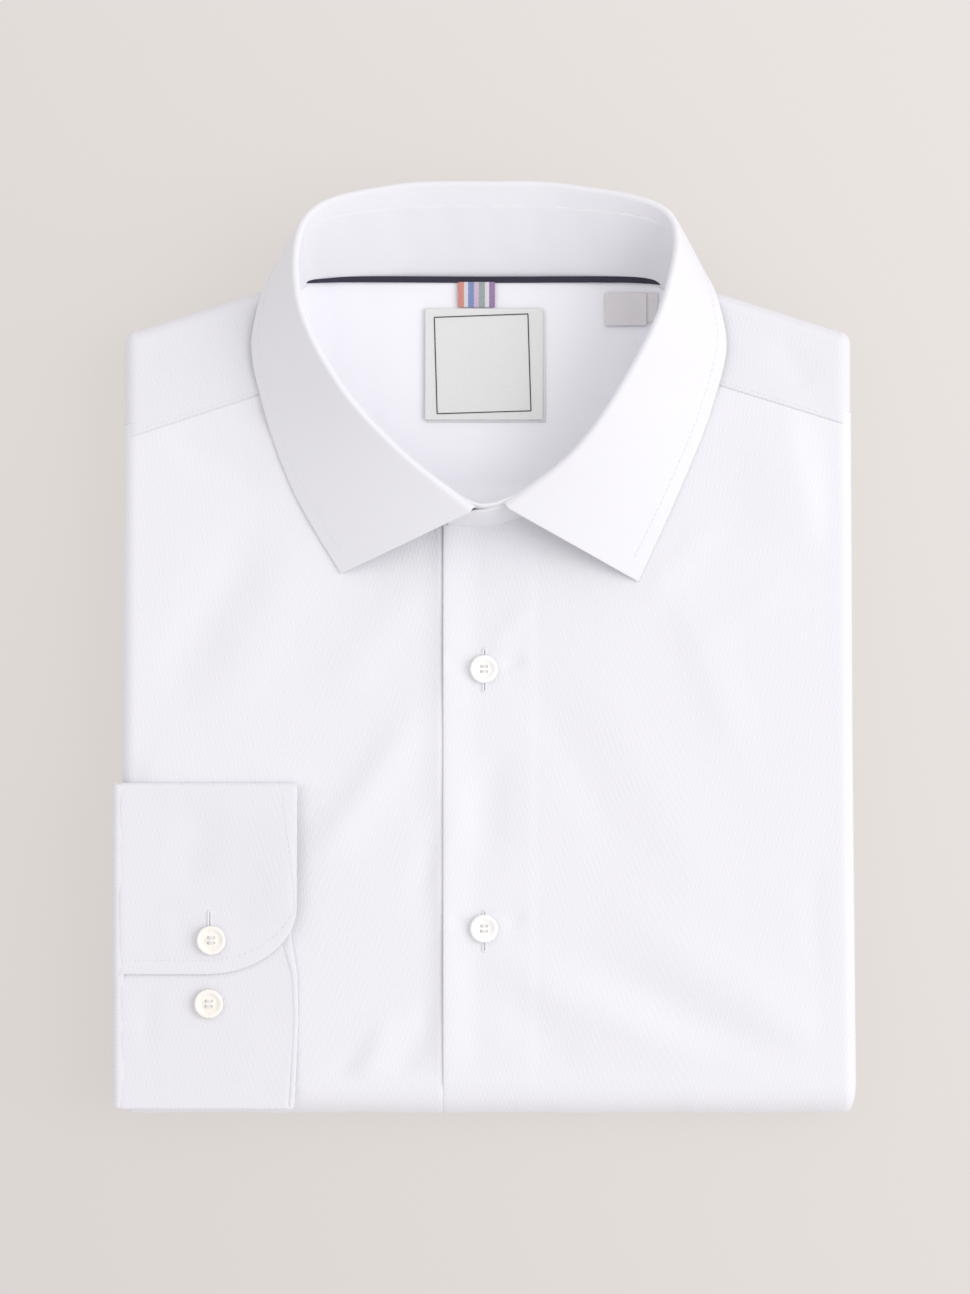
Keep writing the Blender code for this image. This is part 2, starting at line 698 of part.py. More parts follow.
def make_collar_leaf(material):
    """The fall of the collar: up behind the stand's top, over a roll, and down to its edge."""
    rows = rounded_through(COLLAR, COLLAR_STEPS * (len(COLLAR) - 1) + 1)
    seam, fold, edge = rows[:, 0:3], rows[:, 3:6], rows[:, 6:9]
    share, bulge = rows[:, 9:10], rows[:, 10:11]
    stand_length = np.linalg.norm(fold - seam, axis=1, keepdims=True)
    rise = (fold - seam) / stand_length
    out = unit(np.cross(rise, np.gradient(fold, axis=0)))
    roll = fold - LEAF_ROLL_RADIUS * rise + LEAF_ROLL_RADIUS * out
    across = [seam + rise * (stand_length * share + 2.0 * GAP)]
    for turn in (0.0, 45.0, 90.0, 135.0, 180.0):
        angle = math.radians(turn)
        across.append(roll + LEAF_ROLL_RADIUS * (rise * math.sin(angle) - out * math.cos(angle)))
    start = across[-1]
    along = unit(edge - start)
    proud = unit(out - along * np.sum(out * along, axis=1, keepdims=True))
    control = 0.5 * (start + edge) + proud * bulge * 2.0
    for t in np.linspace(0.0, 1.0, 7)[1:]:
        across.append((1 - t) ** 2 * start + 2 * t * (1 - t) * control + t**2 * edge)
    grid = np.stack(across, axis=1)
    grid = clear_of_body(grid, GAP + LEAF_WALL / 2 + LEAF_CLEARANCE)
    leaf = surface_object("collar_leaf", grid, material, (3, 8, UP))
    give_wall(leaf, LEAF_WALL, 0.0)


def make_neck_tape(seam, fold, material):
    """A narrow ribbed tape on the inside of the stand, over the back neck seam."""
    back = (np.abs(seam[:, 0]) < TAPE_HALF) & (seam[:, 1] > 125.0)
    foot = seam[back]
    rise = unit(fold[back] - foot)
    run = np.gradient(foot, axis=0)
    inward = unit(np.cross(run, rise))
    inward = inward * np.where(inward[:, 1:2] > 0.0, -1.0, 1.0)
    off = STAND_WALL / 2 + 1.5 * GAP + TAPE_WALL / 2
    grid = np.stack(
        [foot + inward * off + rise * (0.2 + TAPE_WIDTH * part) for part in (0.0, 1.0)], axis=1
    )
    tape = surface_object("neck_tape", grid, material, (3, 0, UP))
    give_wall(tape, TAPE_WALL, 0.0)


def make_label(name, box, wall, material):
    """A small flat piece that lies on the inner yoke."""
    left, right, low, high = box
    x, y = np.meshgrid(np.linspace(left, right, 4), np.linspace(low, high, 5))
    grid = np.stack([x, y, inner_yoke_z(x, y) + GAP + wall], axis=-1)
    label = surface_object(name, grid, material, (0, 0, UP))
    give_wall(label, wall, -1.0)


def cuff_bed(x, y):
    """Height of the cuff's lowest layer: the cuff is stiff and lies on the front below it."""
    return upper_face(np.maximum(x, CUFF_LEVEL_X), np.maximum(y, CUFF_LEVEL_Y)) + CUFF_REST


def rounded_end(x, wrist_x, end_y, radius):
    """y of a band's end whose outer corner is a quarter circle."""
    past = np.clip(x - (wrist_x - radius), 0.0, radius)
    return end_y + radius - np.sqrt(radius**2 - past**2)


def make_cuff(material):
    """One flattened turn and a bit more: overlap, top fold, lower layer, bottom fold, under end."""

    def places(wrist_x):
        return CUFF_SEAM_X + (wrist_x - CUFF_SEAM_X) * np.array(CUFF_PLACES)

    def row(layer, y, height):
        x = places(np.interp(layer, (0.0, 1.0, 2.0), CUFF_WRIST_X[::-1]))
        y = np.broadcast_to(y, x.shape)
        return np.stack([x, y, cuff_bed(x, y) + height], axis=-1)

    def flat(layer, start_y, end_y, steps):
        for step in np.linspace(0.0, 1.0, steps + 1):
            yield row(layer, start_y + (end_y - start_y) * step, layer * CUFF_LAYER)

    def turned(middle_y, middle_height, radius, layers, steps, way):
        for step in range(1, steps):
            angle = math.pi * step / steps
            layer = layers[0] + (layers[1] - layers[0]) * step / steps
            rise = radius * math.cos(angle) * way
            yield row(layer, middle_y + way * radius * math.sin(angle), middle_height + rise)

    top_y = CUFF_TOP_Y - CUFF_LAYER - CUFF_WALL / 2
    low_y = CUFF_BOTTOM_Y + CUFF_LAYER / 2 + CUFF_WALL / 2
    top_wrist_x, under_wrist_x, _ = CUFF_WRIST_X
    overlap = rounded_end(places(top_wrist_x), top_wrist_x, CUFF_OVERLAP_END_Y, CUFF_CORNER)
    under = CUFF_UNDER_END_Y - rounded_end(places(under_wrist_x), under_wrist_x, 0.0, CUFF_UNDER_CORNER)
    rows = list(flat(2.0, overlap, top_y, 6))
    rows += turned(top_y, CUFF_LAYER, CUFF_LAYER, (2.0, 0.0), 6, 1.0)
    rows += flat(0.0, top_y, low_y, 6)
    rows += turned(low_y, CUFF_LAYER / 2, CUFF_LAYER / 2, (0.0, 1.0), 5, -1.0)
    rows += flat(1.0, low_y, under, 5)
    cuff = surface_object("cuff_right", np.array(rows), material, (2, 2, UP))
    give_wall(cuff, CUFF_WALL, 0.0)


def make_sleeve(name, table, count, material):
    """A flattened tube with rounded edges, carried along its path behind the body."""
    rows = rounded_through(table, count)
    path = rows[:, 0:2]
    normal = unit(np.gradient(path, axis=0))[:, ::-1] * (1.0, -1.0)
    grid = []
    for (x, z, low, high), (out_x, out_z) in zip(rows, normal):
        ring = []
        for edge, way in ((low, -1.0), (high, 1.0)):
            for turn in (-90.0, -45.0, 0.0, 45.0, 90.0):
                angle = math.radians(turn) * -way
                aside = SLEEVE_HALF * math.sin(angle)
                y = edge + way * SLEEVE_HALF * (math.cos(angle) - 1.0)
                ring.append((x + out_x * aside, y, z + out_z * aside))
        grid.append(ring)
    direction = (0.0, -1.0, 0.0)
    surface_object(name, np.array(grid), material, (2, 2, direction), ring=True, capped=True)


def make_button(name, radius, x, y, z, material):
    """A turned button with a raised rim and a sunk middle."""
    mesh = bpy.data.meshes.new(name)
    shape = bmesh.new()
    points = [shape.verts.new((share * radius * MM, 0.0, up * MM)) for share, up in BUTTON_PROFILE]
    for first, second in zip(points, points[1:]):
        shape.edges.new((first, second))
    shape.to_mesh(mesh)
    shape.free()
    mesh.materials.append(material)
    button = bpy.data.objects.new(name, mesh)
    button.location = (x * MM, y * MM, z * MM)
    SHIRT.objects.link(button)
    turned = button.modifiers.new("Turned", "SCREW")
    turned.steps = BUTTON_STEPS
    turned.render_steps = BUTTON_STEPS
    turned.use_merge_vertices = True
    turned.merge_threshold = WELD * 10.0


def make_buttons(white, ivory):
    """Two on the front, one through the cuff's overlap and one on its under end."""
    for number, (x, y) in enumerate(FRONT_BUTTONS, start=1):
        z = float(upper_face(x, y)) + BUTTON_CLEARANCE
        make_button(f"button_front_{number}", BUTTON_RADIUS, x, y, z, white)
    for number, (x, y, layer) in enumerate(CUFF_BUTTONS, start=1):
        z = float(cuff_bed(x, y)) + layer * CUFF_LAYER + CUFF_WALL / 2 + BUTTON_CLEARANCE
        make_button(f"button_cuff_{number}", CUFF_BUTTON_RADIUS, x, y, z, ivory)


def main():
    clear_scene()
    bpy.context.scene.collection.children.link(SHIRT)
    cloth = finish("White cotton", (0.86, 0.86, 0.89), 0.75, sheen=0.3)
    plain_cloth = finish("White cotton, wrong side", (0.80, 0.79, 0.83), 0.8, sheen=0.2)
    tape = finish("Navy tape", (0.03, 0.03, 0.06), 0.8)
    ribbon = finish("Striped ribbon", (0.5, 0.4, 0.55), 0.7)
    satin = finish("Pale grey satin", (0.72, 0.73, 0.72), 0.5)
    white_button = finish("White button", (0.90, 0.90, 0.88), 0.25)
    ivory_button = finish("Ivory button", (0.88, 0.85, 0.76), 0.25)

    make_fronts(cloth)
    make_yoke_outer(cloth)
    make_yoke_inner(plain_cloth)
    make_folded_back(cloth)
    make_sleeve("sleeve_right", RIGHT_SLEEVE, 19, cloth)
    make_sleeve("sleeve_left", LEFT_SLEEVE, 7, cloth)
    make_cuff(cloth)
    seam, fold = make_collar_stand(cloth)
    make_collar_leaf(cloth)
    make_neck_tape(seam, fold, tape)
    make_label("hanger_loop", LOOP, LABEL_WALL, ribbon)
    make_label("neck_label", NECK_LABEL, LABEL_WALL, satin)
    make_label("care_label", CARE_LABEL, LABEL_WALL, satin)
    make_buttons(white_button, ivory_button)


SHIRT = bpy.data.collections.new("folded_shirt")
main()
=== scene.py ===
"""Folded white dress shirt, lying face up.

The body is folded at both sides and turned up at the bottom, the collar stands open round the neck
and the right cuff lies on the front. Left and right are the wearer's, so the left front is at +X.
Tables and shapes are in millimetres, and meshes in metres.
"""

import bmesh
import bpy
import numpy as np
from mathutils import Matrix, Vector


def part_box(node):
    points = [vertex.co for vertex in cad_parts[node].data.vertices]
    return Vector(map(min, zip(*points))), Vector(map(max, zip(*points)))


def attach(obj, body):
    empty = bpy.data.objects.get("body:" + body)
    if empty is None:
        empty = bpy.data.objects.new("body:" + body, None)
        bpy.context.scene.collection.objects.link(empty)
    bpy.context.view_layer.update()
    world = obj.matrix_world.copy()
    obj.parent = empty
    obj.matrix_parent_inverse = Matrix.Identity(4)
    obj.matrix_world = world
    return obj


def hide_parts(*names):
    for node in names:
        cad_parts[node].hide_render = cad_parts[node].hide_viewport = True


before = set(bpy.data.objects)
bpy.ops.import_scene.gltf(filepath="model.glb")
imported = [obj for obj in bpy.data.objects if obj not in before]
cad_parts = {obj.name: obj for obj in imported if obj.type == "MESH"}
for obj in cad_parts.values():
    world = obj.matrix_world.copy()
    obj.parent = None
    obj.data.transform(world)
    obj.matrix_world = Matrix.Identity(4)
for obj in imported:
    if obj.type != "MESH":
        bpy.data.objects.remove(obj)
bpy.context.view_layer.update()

bl_info = {
    "name": "Folded dress shirt",
    "version": (1, 0, 0),
    "blender": (4, 5, 0),
    "location": "View3D > Sidebar > Shirt",
    "description": "Builds the cloth, trim and buttons of a folded dress shirt",
    "category": "Object",
}

MM = 0.001

# The upper fold of the body, its turn at the bottom hem and the part turned up underneath
TOP_Z = 24.0
BODY_THICK = 10.0
TURN_Y = -163.0
TURN_Z = 12.0
TURNED_THICK = 6.0
TAIL_TURN_Y = 115.0
TAIL_THICK = 4.0
TAIL_INNER = 0.15
TAIL_END_Y = -110.0
TAIL_TURN_Z = TURNED_THICK + TAIL_INNER
CLEAR = 1.8
CORE_NECK_Y = 64.0
CORE_NECK_END_Y = 78.0
CORE_DROP = 1.3
# The stacked layers at the side folds: how many waves, and their depth as a share
LAYERS = 10.0
LAYER_DENT = 0.035

SIDE_EDGES = (
    # y, left edge x, right edge x
    (-163.0, -136.0, 138.9),
    (-50.0, -135.8, 137.6),
    (120.0, -134.8, 136.6),
)
UNDER_EDGES = (
    # y, left edge x, right edge x
    (-163.0, -135.6, 137.4),
    (115.0, -132.4, 134.0),
)

SHOULDER_Y = 116.8
SHOULDER_SLOPE = 0.317
NECK_SIDE_X = 77.8

FRONT_EDGE = (
    # x, y of the fronts' upper edge
    (-141.0, 75.0),
    (-71.0, 98.0),
    (-58.0, 80.0),
    (-33.8, 58.2),
    (-12.0, 47.5),
    (0.0, 46.2),
    (12.0, 47.2),
    (35.5, 59.3),
    (59.5, 81.5),
    (73.0, 101.5),
    (141.0, 80.6),
)
LEFT_EDGE_X = -15.7
UNDERLAP_X = 18.0
UNDERLAP_DIP = 1.5
UNDERLAP_CLIMB = 1.2
CLIMB_WIDTH = 8.5
FACING_X = 17.3
FACING_DEPTH = 1.2
FACING_RISE = 0.22
EDGE_SLACK = 1.85
EDGE_SLACK_AT_TURN = 0.35
SLACK_WIDTH = 14.0

# Long soft folds of the whole body, and then the creases of the cloth itself, uneven in length,
# depth and spacing. They fade out over these widths at the side, hem and shoulder folds.
CROWN = 1.0
FACE_HALF = 131.0
FOLD_FADES = (14.0, 22.0, 16.0)
CREASE_FADES = (9.0, 7.0, 10.0)
SOFT_FOLDS = (
    # x0, y0, x1, y1, half width towards the light, half width away from it, height
    (-85.0, 44.0, -116.0, -14.0, 10.5, 10.5, -1.5),
    (-67.0, 36.0, -99.0, -24.0, 11.0, 11.0, 0.7),
    (-22.0, 24.0, -56.0, -14.0, 9.0, 9.0, 0.9),
    (38.0, -118.0, 110.0, -155.0, 8.5, 8.5, -1.35),
    (58.0, -104.0, 120.0, -144.0, 10.0, 10.0, 1.1),
    (4.0, -118.0, 74.0, -151.0, 9.0, 9.0, 1.2),
    (84.0, 44.0, 60.0, 20.0, 6.0, 6.0, 0.8),
    (40.0, -10.0, 84.0, -92.0, 11.0, 11.0, 0.5),
)
CREASES = (
    # as above
    (-26.0, -28.0, -64.0, -77.0, 8.5, 7.0, 1.8),
    (2.5, -42.0, 2.0, -76.0, 7.0, 7.0, -1.1),
    (-17.0, -60.0, -24.0, -98.0, 4.0, 5.0, -0.6),
    (-19.0, -132.0, -34.0, -163.0, 5.5, 5.0, -0.9),
    (-37.0, -140.0, -50.0, -169.0, 5.0, 4.5, 1.0),
    (-47.0, -150.0, -61.0, -170.0, 4.0, 4.0, -0.6),
    (10.0, -128.0, 34.0, -158.0, 8.0, 8.0, -0.6),
    (123.0, -84.0, 125.0, -122.0, 5.0, 5.0, -0.3),
    (112.0, 112.0, 120.0, 98.0, 6.0, 6.0, -0.7),
    (-95.0, 99.0, -81.0, 83.0, 6.0, 6.0, -1.0),
    (-116.0, 78.0, -84.0, 62.0, 8.0, 6.0, -0.9),
    (110.0, 21.0, 80.0, 3.0, 6.0, 6.0, 0.6),
    (70.0, 16.0, 96.0, -34.0, 9.0, 7.0, 0.7),
    (112.0, 88.0, 118.0, 42.0, 8.0, 20.0, 1.9),
    (18.0, -14.0, 46.0, -70.0, 9.0, 7.0, -0.6),
    (15.0, 15.0, 3.0, -2.0, 4.0, 4.0, 0.5),
    (-6.0, -6.5, -14.0, -6.0, 3.0, 3.0, -0.9),
    (7.0, -7.0, 14.0, -5.0, 2.5, 2.5, -0.8),
    (-6.0, -103.5, -12.5, -101.0, 2.5, 2.5, -0.7),
    (8.0, -103.5, 14.0, -100.5, 2.5, 2.5, -0.7),
)
# Waves in the cloth that no single crease makes
WAVES = {
    # where: radians a millimetre along two directions, phase, height
    "relief": (
        (0.055, 0.021, 0.4, 0.07),
        (0.13, -0.047, 1.7, 0.035),
        (-0.071, 0.093, 2.9, 0.045),
        (0.21, 0.17, 0.9, 0.018),
    ),
    "left front edge": ((0.047, 0.0, 0.9, 0.3), (0.11, 0.0, 2.1, 0.2)),
    "right front climb": ((0.038, 0.0, 2.6, 1.8), (0.09, 0.0, 0.4, 0.8)),
    "hem fold": ((0.11, 0.0, 0.3, 0.12), (0.27, 0.0, 1.2, 0.07), (0.52, 0.0, 2.0, 0.04)),
    "inner yoke": ((0.06, 0.03, 0.5, 0.10), (0.14, -0.08, 2.0, 0.06), (0.03, 0.11, 1.1, 0.08)),
    "leaf": ((0.045, 0.05, 0.2, 0.16), (0.09, -0.06, 1.4, 0.09)),
    "leaf puckers": ((0.9, 0.0, 0.3, 0.05), (0.53, 0.0, 1.9, 0.05), (1.7, 0.0, 0.8, 0.03)),
    "stand puckers": ((0.8, 0.0, 0.0, 0.06), (1.3, 0.0, 1.0, 0.05), (0.37, 0.0, 2.0, 0.10)),
    "cuff": ((0.09, 0.05, 0.3, 0.10), (0.17, -0.06, 1.0, 0.05), (0.03, 0.15, 2.2, 0.07)),
    "sleeve gathers": ((0.35, 0.0, 0.2, 0.5), (0.71, 0.0, 1.1, 0.3), (0.17, 0.0, 2.0, 0.4)),
}

COLLAR = (
    # seam x, y, z, fold x, y, z, leaf edge x, y, z, share of the stand, bulge of the leaf
    (-4.0, 46.9, 25.8, -3.7, 52.0, 46.0, -53.7, 27.3, 25.3, 0.86, 0.8),
    (-33.8, 58.2, 25.9, -31.0, 73.2, 48.4, -71.1, 57.3, 25.3, 0.87, 0.7),
    (-58.1, 80.0, 25.8, -53.7, 99.0, 50.7, -82.8, 90.1, 25.3, 0.86, 0.3),
    (-74.5, 108.0, 25.2, -67.6, 130.0, 49.3, -86.4, 118.0, 26.0, 0.84, 0.5),
    (-69.0, 134.6, 18.6, -64.0, 160.5, 36.5, -73.0, 146.0, 15.0, 0.80, 1.0),
    (-34.0, 138.1, 14.2, -34.6, 171.2, 28.9, -35.0, 138.0, 1.8, 0.77, 2.2),
    (0.0, 138.6, 13.4, 0.0, 172.7, 27.5, 0.0, 137.0, 1.2, 0.76, 2.0),
    (34.0, 138.1, 14.2, 32.5, 171.2, 28.8, 35.0, 138.0, 1.8, 0.77, 2.2),
    (67.5, 134.4, 18.4, 67.0, 160.5, 37.5, 75.0, 146.0, 15.0, 0.80, 1.0),
    (74.5, 109.5, 25.2, 65.6, 130.4, 49.2, 89.4, 118.0, 26.0, 0.84, 0.5),
    (59.5, 81.5, 25.8, 50.6, 98.5, 50.5, 84.8, 90.0, 25.3, 0.86, 0.3),
    (35.5, 59.3, 25.9, 31.4, 71.6, 48.4, 71.4, 55.8, 25.3, 0.87, 0.7),
    (6.0, 46.6, 25.8, 6.8, 53.4, 45.5, 57.1, 24.3, 25.3, 0.86, 0.8),
)
STAND_INNER_END = (
    # seam x, y, z, fold x, y, z, share of the stand
    (13.0, 50.4, 25.8, 13.4, 57.0, 46.8, 0.94),
    (-4.0, 47.5, 25.8, -4.3, 53.4, 46.6, 0.93),
)
STAND_OUTER_END = (
    # seam x, y, z, fold x, y, z, share of the stand
    (6.0, 46.6, 25.8, 6.8, 53.4, 45.5, 0.88),
    (-14.0, 45.4, 25.6, -13.5, 49.6, 42.5, 0.95),
)
ROLL_RADIUS = 1.1
ROLL_END = 0.9
LEAF_BULGE = 0.6
LEAF_LENGTH = 430.0
LEAF_DEPTH = 42.0
STAND_LENGTH = 400.0
STAND_DEPTH = 24.0
# How far the leaf keeps off the fronts, how much more off the shoulder folds, and where they are
LEAF_CLEAR = 0.6
LEAF_CLEAR_AT_FOLD = 1.9
OVER_YOKE_X = 74.8
OVER_FRONT_Y = 100.0
LEAF_HALF = 0.42
STAND_HALF = 0.6

YOKE_NECKLINE = (
    # share of the way to the shoulder fold, left and right x of the neckline
    (0.0, -71.2, 73.3),
    (0.33, -75.8, 76.2),
    (0.67, -77.6, 77.6),
    (1.0, -NECK_SIDE_X, NECK_SIDE_X),
)
YOKE_HEM_Y = 98.0
YOKE_NECK_Y = 137.6
YOKE_DROP = 2.8
YOKE_SEAM_DEPTH = 0.18
YOKE_ROWS = 30
YOKE_SIDE_Y = 110.0

LINING_INSET = 0.45
LINING_FRONT_Y = 52.6
LINING_CENTRE = (0.0, 96.0)
LINING_BACK_Y = 131.0
INNER_YOKE_FRONT_Y = 52.0
INNER_YOKE_BACK_Y = 137.3
INNER_YOKE_FRONT_Z = 20.5
INNER_YOKE_BACK_Z = 14.6
INNER_YOKE_SECTION = (
    # distance from the middle, rise towards the neckline
    (0.0, 0.0),
    (22.0, 0.0),
    (43.0, 0.2),
    (58.0, 1.3),
    (66.5, 3.0),
    (70.0, 4.0),
    (73.0, 5.0),
)

CUFF_SEAM_X = -136.2
CUFF_TOP_Y = -50.5
CUFF_BOTTOM_Y = -172.4
CUFF_OVERLAP_Y = -121.9
CUFF_UNDER_Y = -95.0
CUFF_WRIST_X = -69.9
CUFF_WRIST = (
    # y, wrist edge x of the bottom layer and of the under end
    (-171.9, -71.1, -73.3),
    (-153.6, -70.2, -72.2),
    (-138.0, -69.6, -71.4),
    (-122.0, -69.9, -72.2),
    (-110.0, -72.0, -75.6),
    (-96.0, -73.0, -78.0),
    (-80.0, -70.4, -78.0),
    (-50.0, -69.9, -72.0),
)
CUFF_CORNER = (34.0, 26.0)
CUFF_UNDER_CORNER = (20.0, 20.0)
CUFF_LAYER = 1.4
CUFF_WALL = 1.2
CUFF_REST = 0.85
CUFF_HALF = 0.5
CUFF_EDGE = 1.8
CUFF_TOP_ROWS = 44
CUFF_DEPTH = 66.0
CUFF_END_LENGTH = 70.0
# The creases end under the cuff, and the front swells up beside its top edge
UNDER_CUFF_X = (-66.0, -74.0)
UNDER_CUFF_Y = (-44.0, -52.0)
CUFF_SWELL = 1.2
CUFF_SWELL_X = (-54.0, -84.0)
CUFF_SWELL_Y = -34.0
# Past these the stiff cuff lies level
CUFF_BED_X = -124.0
CUFF_BED_Y = -140.0
CUFF_FOLDS = (
    # x0, y0, x1, y1, half width towards the light, half width away from it, height
    (-106.0, -62.0, -110.0, -88.0, 9.0, 9.0, -0.8),
    (-74.0, -60.0, -73.0, -100.0, 5.0, 12.0, 1.1),
    (-99.0, -104.0, -86.0, -100.0, 3.5, 3.5, -0.3),
    (-106.0, -107.0, -117.0, -103.0, 3.5, 3.5, -0.3),
    (-126.0, -128.0, -127.0, -150.0, 3.5, 3.5, -0.3),
)

SLEEVE_HALF = 1.1
RIGHT_SLEEVE = (
    # x, z, lower edge y, upper edge y
    (-134.4, 27.0, -171.9, -51.3),
    (-136.9, 26.7, -172.1, -51.0),
    (-137.8, 24.6, -172.0, -50.9),
    (-137.8, 22.2, -171.6, -50.9),
    (-137.8, 19.0, -170.0, -51.2),
    (-137.7, 16.0, -167.0, -51.6),
    (-137.2, 13.3, -163.0, -52.2),
    (-134.6, 11.9, -159.5, -53.0),
    (-126.0, 11.9, -158.0, -54.0),
    (-60.0, 11.9, -158.0, -54.0),
    (-8.0, 11.9, -156.0, -50.0),
)
LEFT_SLEEVE = (
    # x, z, lower edge y, upper edge y
    (134.6, 11.9, -60.0, 88.0),
    (90.0, 11.9, -110.0, 70.0),
    (40.0, 11.9, -157.0, 10.0),
    (4.0, 11.9, -157.0, -38.0),
)
SLEEVES = (
    # node, path, rows of the grid, gathers, drop at the cuff's single layer
    ("sleeve_right", RIGHT_SLEEVE, 90, 0.12, CUFF_LAYER),
    ("sleeve_left", LEFT_SLEEVE, 50, 0.0, 0.0),
)

TAPE = (
    # x, y, z of its lower edge, width
    (-70.8, 135.8, 19.8, 0.9),
    (-60.0, 136.5, 17.6, 1.7),
    (-45.0, 136.8, 15.9, 2.4),
    (0.0, 136.7, 14.9, 2.5),
    (45.0, 136.7, 15.9, 2.5),
    (60.0, 136.2, 17.5, 2.2),
    (70.0, 134.8, 19.6, 1.1),
)
TAPE_RISE = (0.0, 0.92, 0.39)
TAPE_HALF = 0.3
TRIM_EDGE = (0.0, 0.06, 0.18, 0.35)
LOOP = (-10.1, 3.7, 127.4, 137.0)
NECK_LABEL = (-22.5, 21.7, 85.0, 127.0)
NECK_BACKING = (-21.6, 22.6, 84.3, 125.8)
CARE_LABEL = (45.0, 60.6, 120.4, 132.8)
CARE_BACKING = (49.2, 64.8, 121.5, 132.8)
NECK_TRIM = (
    # piece, place, half thickness, height above the yoke, bow, curl, material, slot, node
    ("hanger_loop_ribbon", LOOP, 0.35, 0.9, 0.7, 0.0, "striped loop", "striped_ribbon", "hanger_loop"),
    ("neck_label_satin", NECK_LABEL, 0.3, 0.95, 0.15, 0.35, "label satin", "grey_satin", "neck_label"),
    ("neck_label_backing", NECK_BACKING, 0.2, 0.55, 0.0, 0.0, "label satin", "grey_satin", None),
    ("care_label_satin", CARE_LABEL, 0.28, 0.95, 0.1, 0.2, "care satin", "grey_satin", "care_label"),
    ("care_label_backing", CARE_BACKING, 0.2, 0.55, 0.0, 0.0, "care satin", "grey_satin", None),
)
LABEL_BORDER = ((-19.0, 123.6), (16.1, 124.9), (17.2, 88.4), (-17.9, 87.3))
LABEL_BORDER_Z = 1.29

FRONT_BUTTONS = (
    # x, y, and how far its buttonhole reaches below and above it
    (-0.4, -8.2, 8.4, 7.4),
    (-0.4, -104.9, 8.6, 6.6),
)
CUFF_BUTTONS = (
    # x, y, layers of the cuff below it
    (-101.8, -109.0, 2),
    (-102.8, -132.7, 1),
)
CUFF_BUTTONHOLE = (-102.4, -114.5, -98.4)
FRONT_BUTTON_RISE = 0.45
CUFF_BUTTON_RISE = 0.4
BUTTON_PROFILE = (
    # share of the radius, height above the cloth side
    (0.0, 1.25),
    (0.30, 1.25),
    (0.46, 1.30),
    (0.60, 1.62),
    (0.72, 2.05),
    (0.84, 2.26),
    (0.94, 2.10),
    (0.99, 1.65),
    (1.0, 1.15),
    (0.95, 0.55),
    (0.80, 0.18),
    (0.50, 0.0),
    (0.0, 0.0),
)
CUFF_BUTTON_PROFILE = (
    # share of the radius, height above the cloth side
    (0.0, 1.85),
    (0.22, 1.78),
    (0.42, 1.45),
    (0.58, 1.42),
    (0.72, 1.85),
    (0.85, 2.15),
    (0.95, 1.98),
    (1.0, 1.45),
    (0.97, 0.7),
    (0.82, 0.2),
    (0.50, 0.0),
    (0.0, 0.0),
)
BUTTON_KINDS = {
    # profile, material, slot, slope of the button along x and y
    "front": (BUTTON_PROFILE, "white shell", "white_button", (0.015, -0.02)),
    "cuff": (CUFF_BUTTON_PROFILE, "ivory shell", "ivory_button", (-0.02, 0.015)),
}
BUTTON_ROWS = 64
BUTTON_UPPER_ROWS = 30
BUTTON_HOLE = 0.95
BUTTON_HOLE_DEPTH = 0.7
BUTTONHOLE_HALF = 0.55
BUTTONHOLE_WELT = (0.46, 0.26)
BUTTONHOLE_STITCH = 0.42

# Length and radius of a stitch
STITCH = (1.75, 0.13)
BORDER_STITCH = (0.62, 0.24)
BUTTON_STITCH = (2.5, 0.16)
BORDER_PITCH = 0.5
# Distance of the stitches from an edge
LEAF_MARGIN = 5.8
LEAF_END_MARGIN = 5.6
CUFF_MARGIN = 5.5
YOKE_MARGIN = 1.8

UP = (0.0, 0.0, 1.0)
FLOOR_Z = -0.2
FLOOR_HALF = 3000.0
LIGHTS = (
    # name, place in metres, share of the key light's power, width in metres
    ("key light", (2.0, 0.2, 1.65), 1.0, 2.0),
    ("fill light", (-1.1, 0.9, 1.5), 0.15, 1.4),
)

CLOTH_UV = "cloth"
THREAD_PITCH = 0.00042
STRIPES = (
    # start as a share of the ribbon's width, colour
    (0.0, (0.60, 0.14, 0.07)),
    (0.16, (0.62, 0.60, 0.66)),
    (0.27, (0.07, 0.16, 0.44)),
    (0.43, (0.55, 0.38, 0.52)),
    (0.56, (0.20, 0.28, 0.26)),
    (0.73, (0.66, 0.64, 0.68)),
    (0.84, (0.20, 0.07, 0.28)),
)


# Sums on whole arrays


def smooth(low, high, value):
    """0 below low, 1 above high, and between them 3 t squared less 2 t cubed."""
    share = np.clip((value - low) / (high - low), 0.0, 1.0)
    return share * share * (3.0 - 2.0 * share)


def along(table, first, column):
    """Straight-line reading of one column of a table against its first column."""
    rows = np.array(table)
    return np.interp(first, rows[:, 0], rows[:, column])


def through(table, place):
    """A Catmull-Rom curve through the rows of a table, read at each place from 0 to 1."""
    rows = np.array(table, dtype=float)
    last = len(rows) - 1
    at = np.asarray(place) * last
    start = np.minimum(at.astype(int), last - 1)
    t = (at - start)[:, None]
    before = rows[np.maximum(start - 1, 0)]
    here = rows[start]
    there = rows[start + 1]
    beyond = rows[np.minimum(start + 2, last)]
    return 0.5 * (
        2.0 * here
        + (there - before) * t
        + (2.0 * before - 5.0 * here + 4.0 * there - beyond) * t**2
        + (3.0 * here - before - 3.0 * there + beyond) * t**3
    )


def unit(vectors):
    """Each vector made one long."""
    return vectors / np.maximum(np.linalg.norm(vectors, axis=-1, keepdims=True), 1e-9)


def arc(points, axis):
    """Length along the grid from its first row or column."""
    step = np.linalg.norm(np.diff(points, axis=axis), axis=-1)
    start = np.zeros_like(np.take(step, [0], axis=axis))
    return np.concatenate([start, np.cumsum(step, axis=axis)], axis=axis)


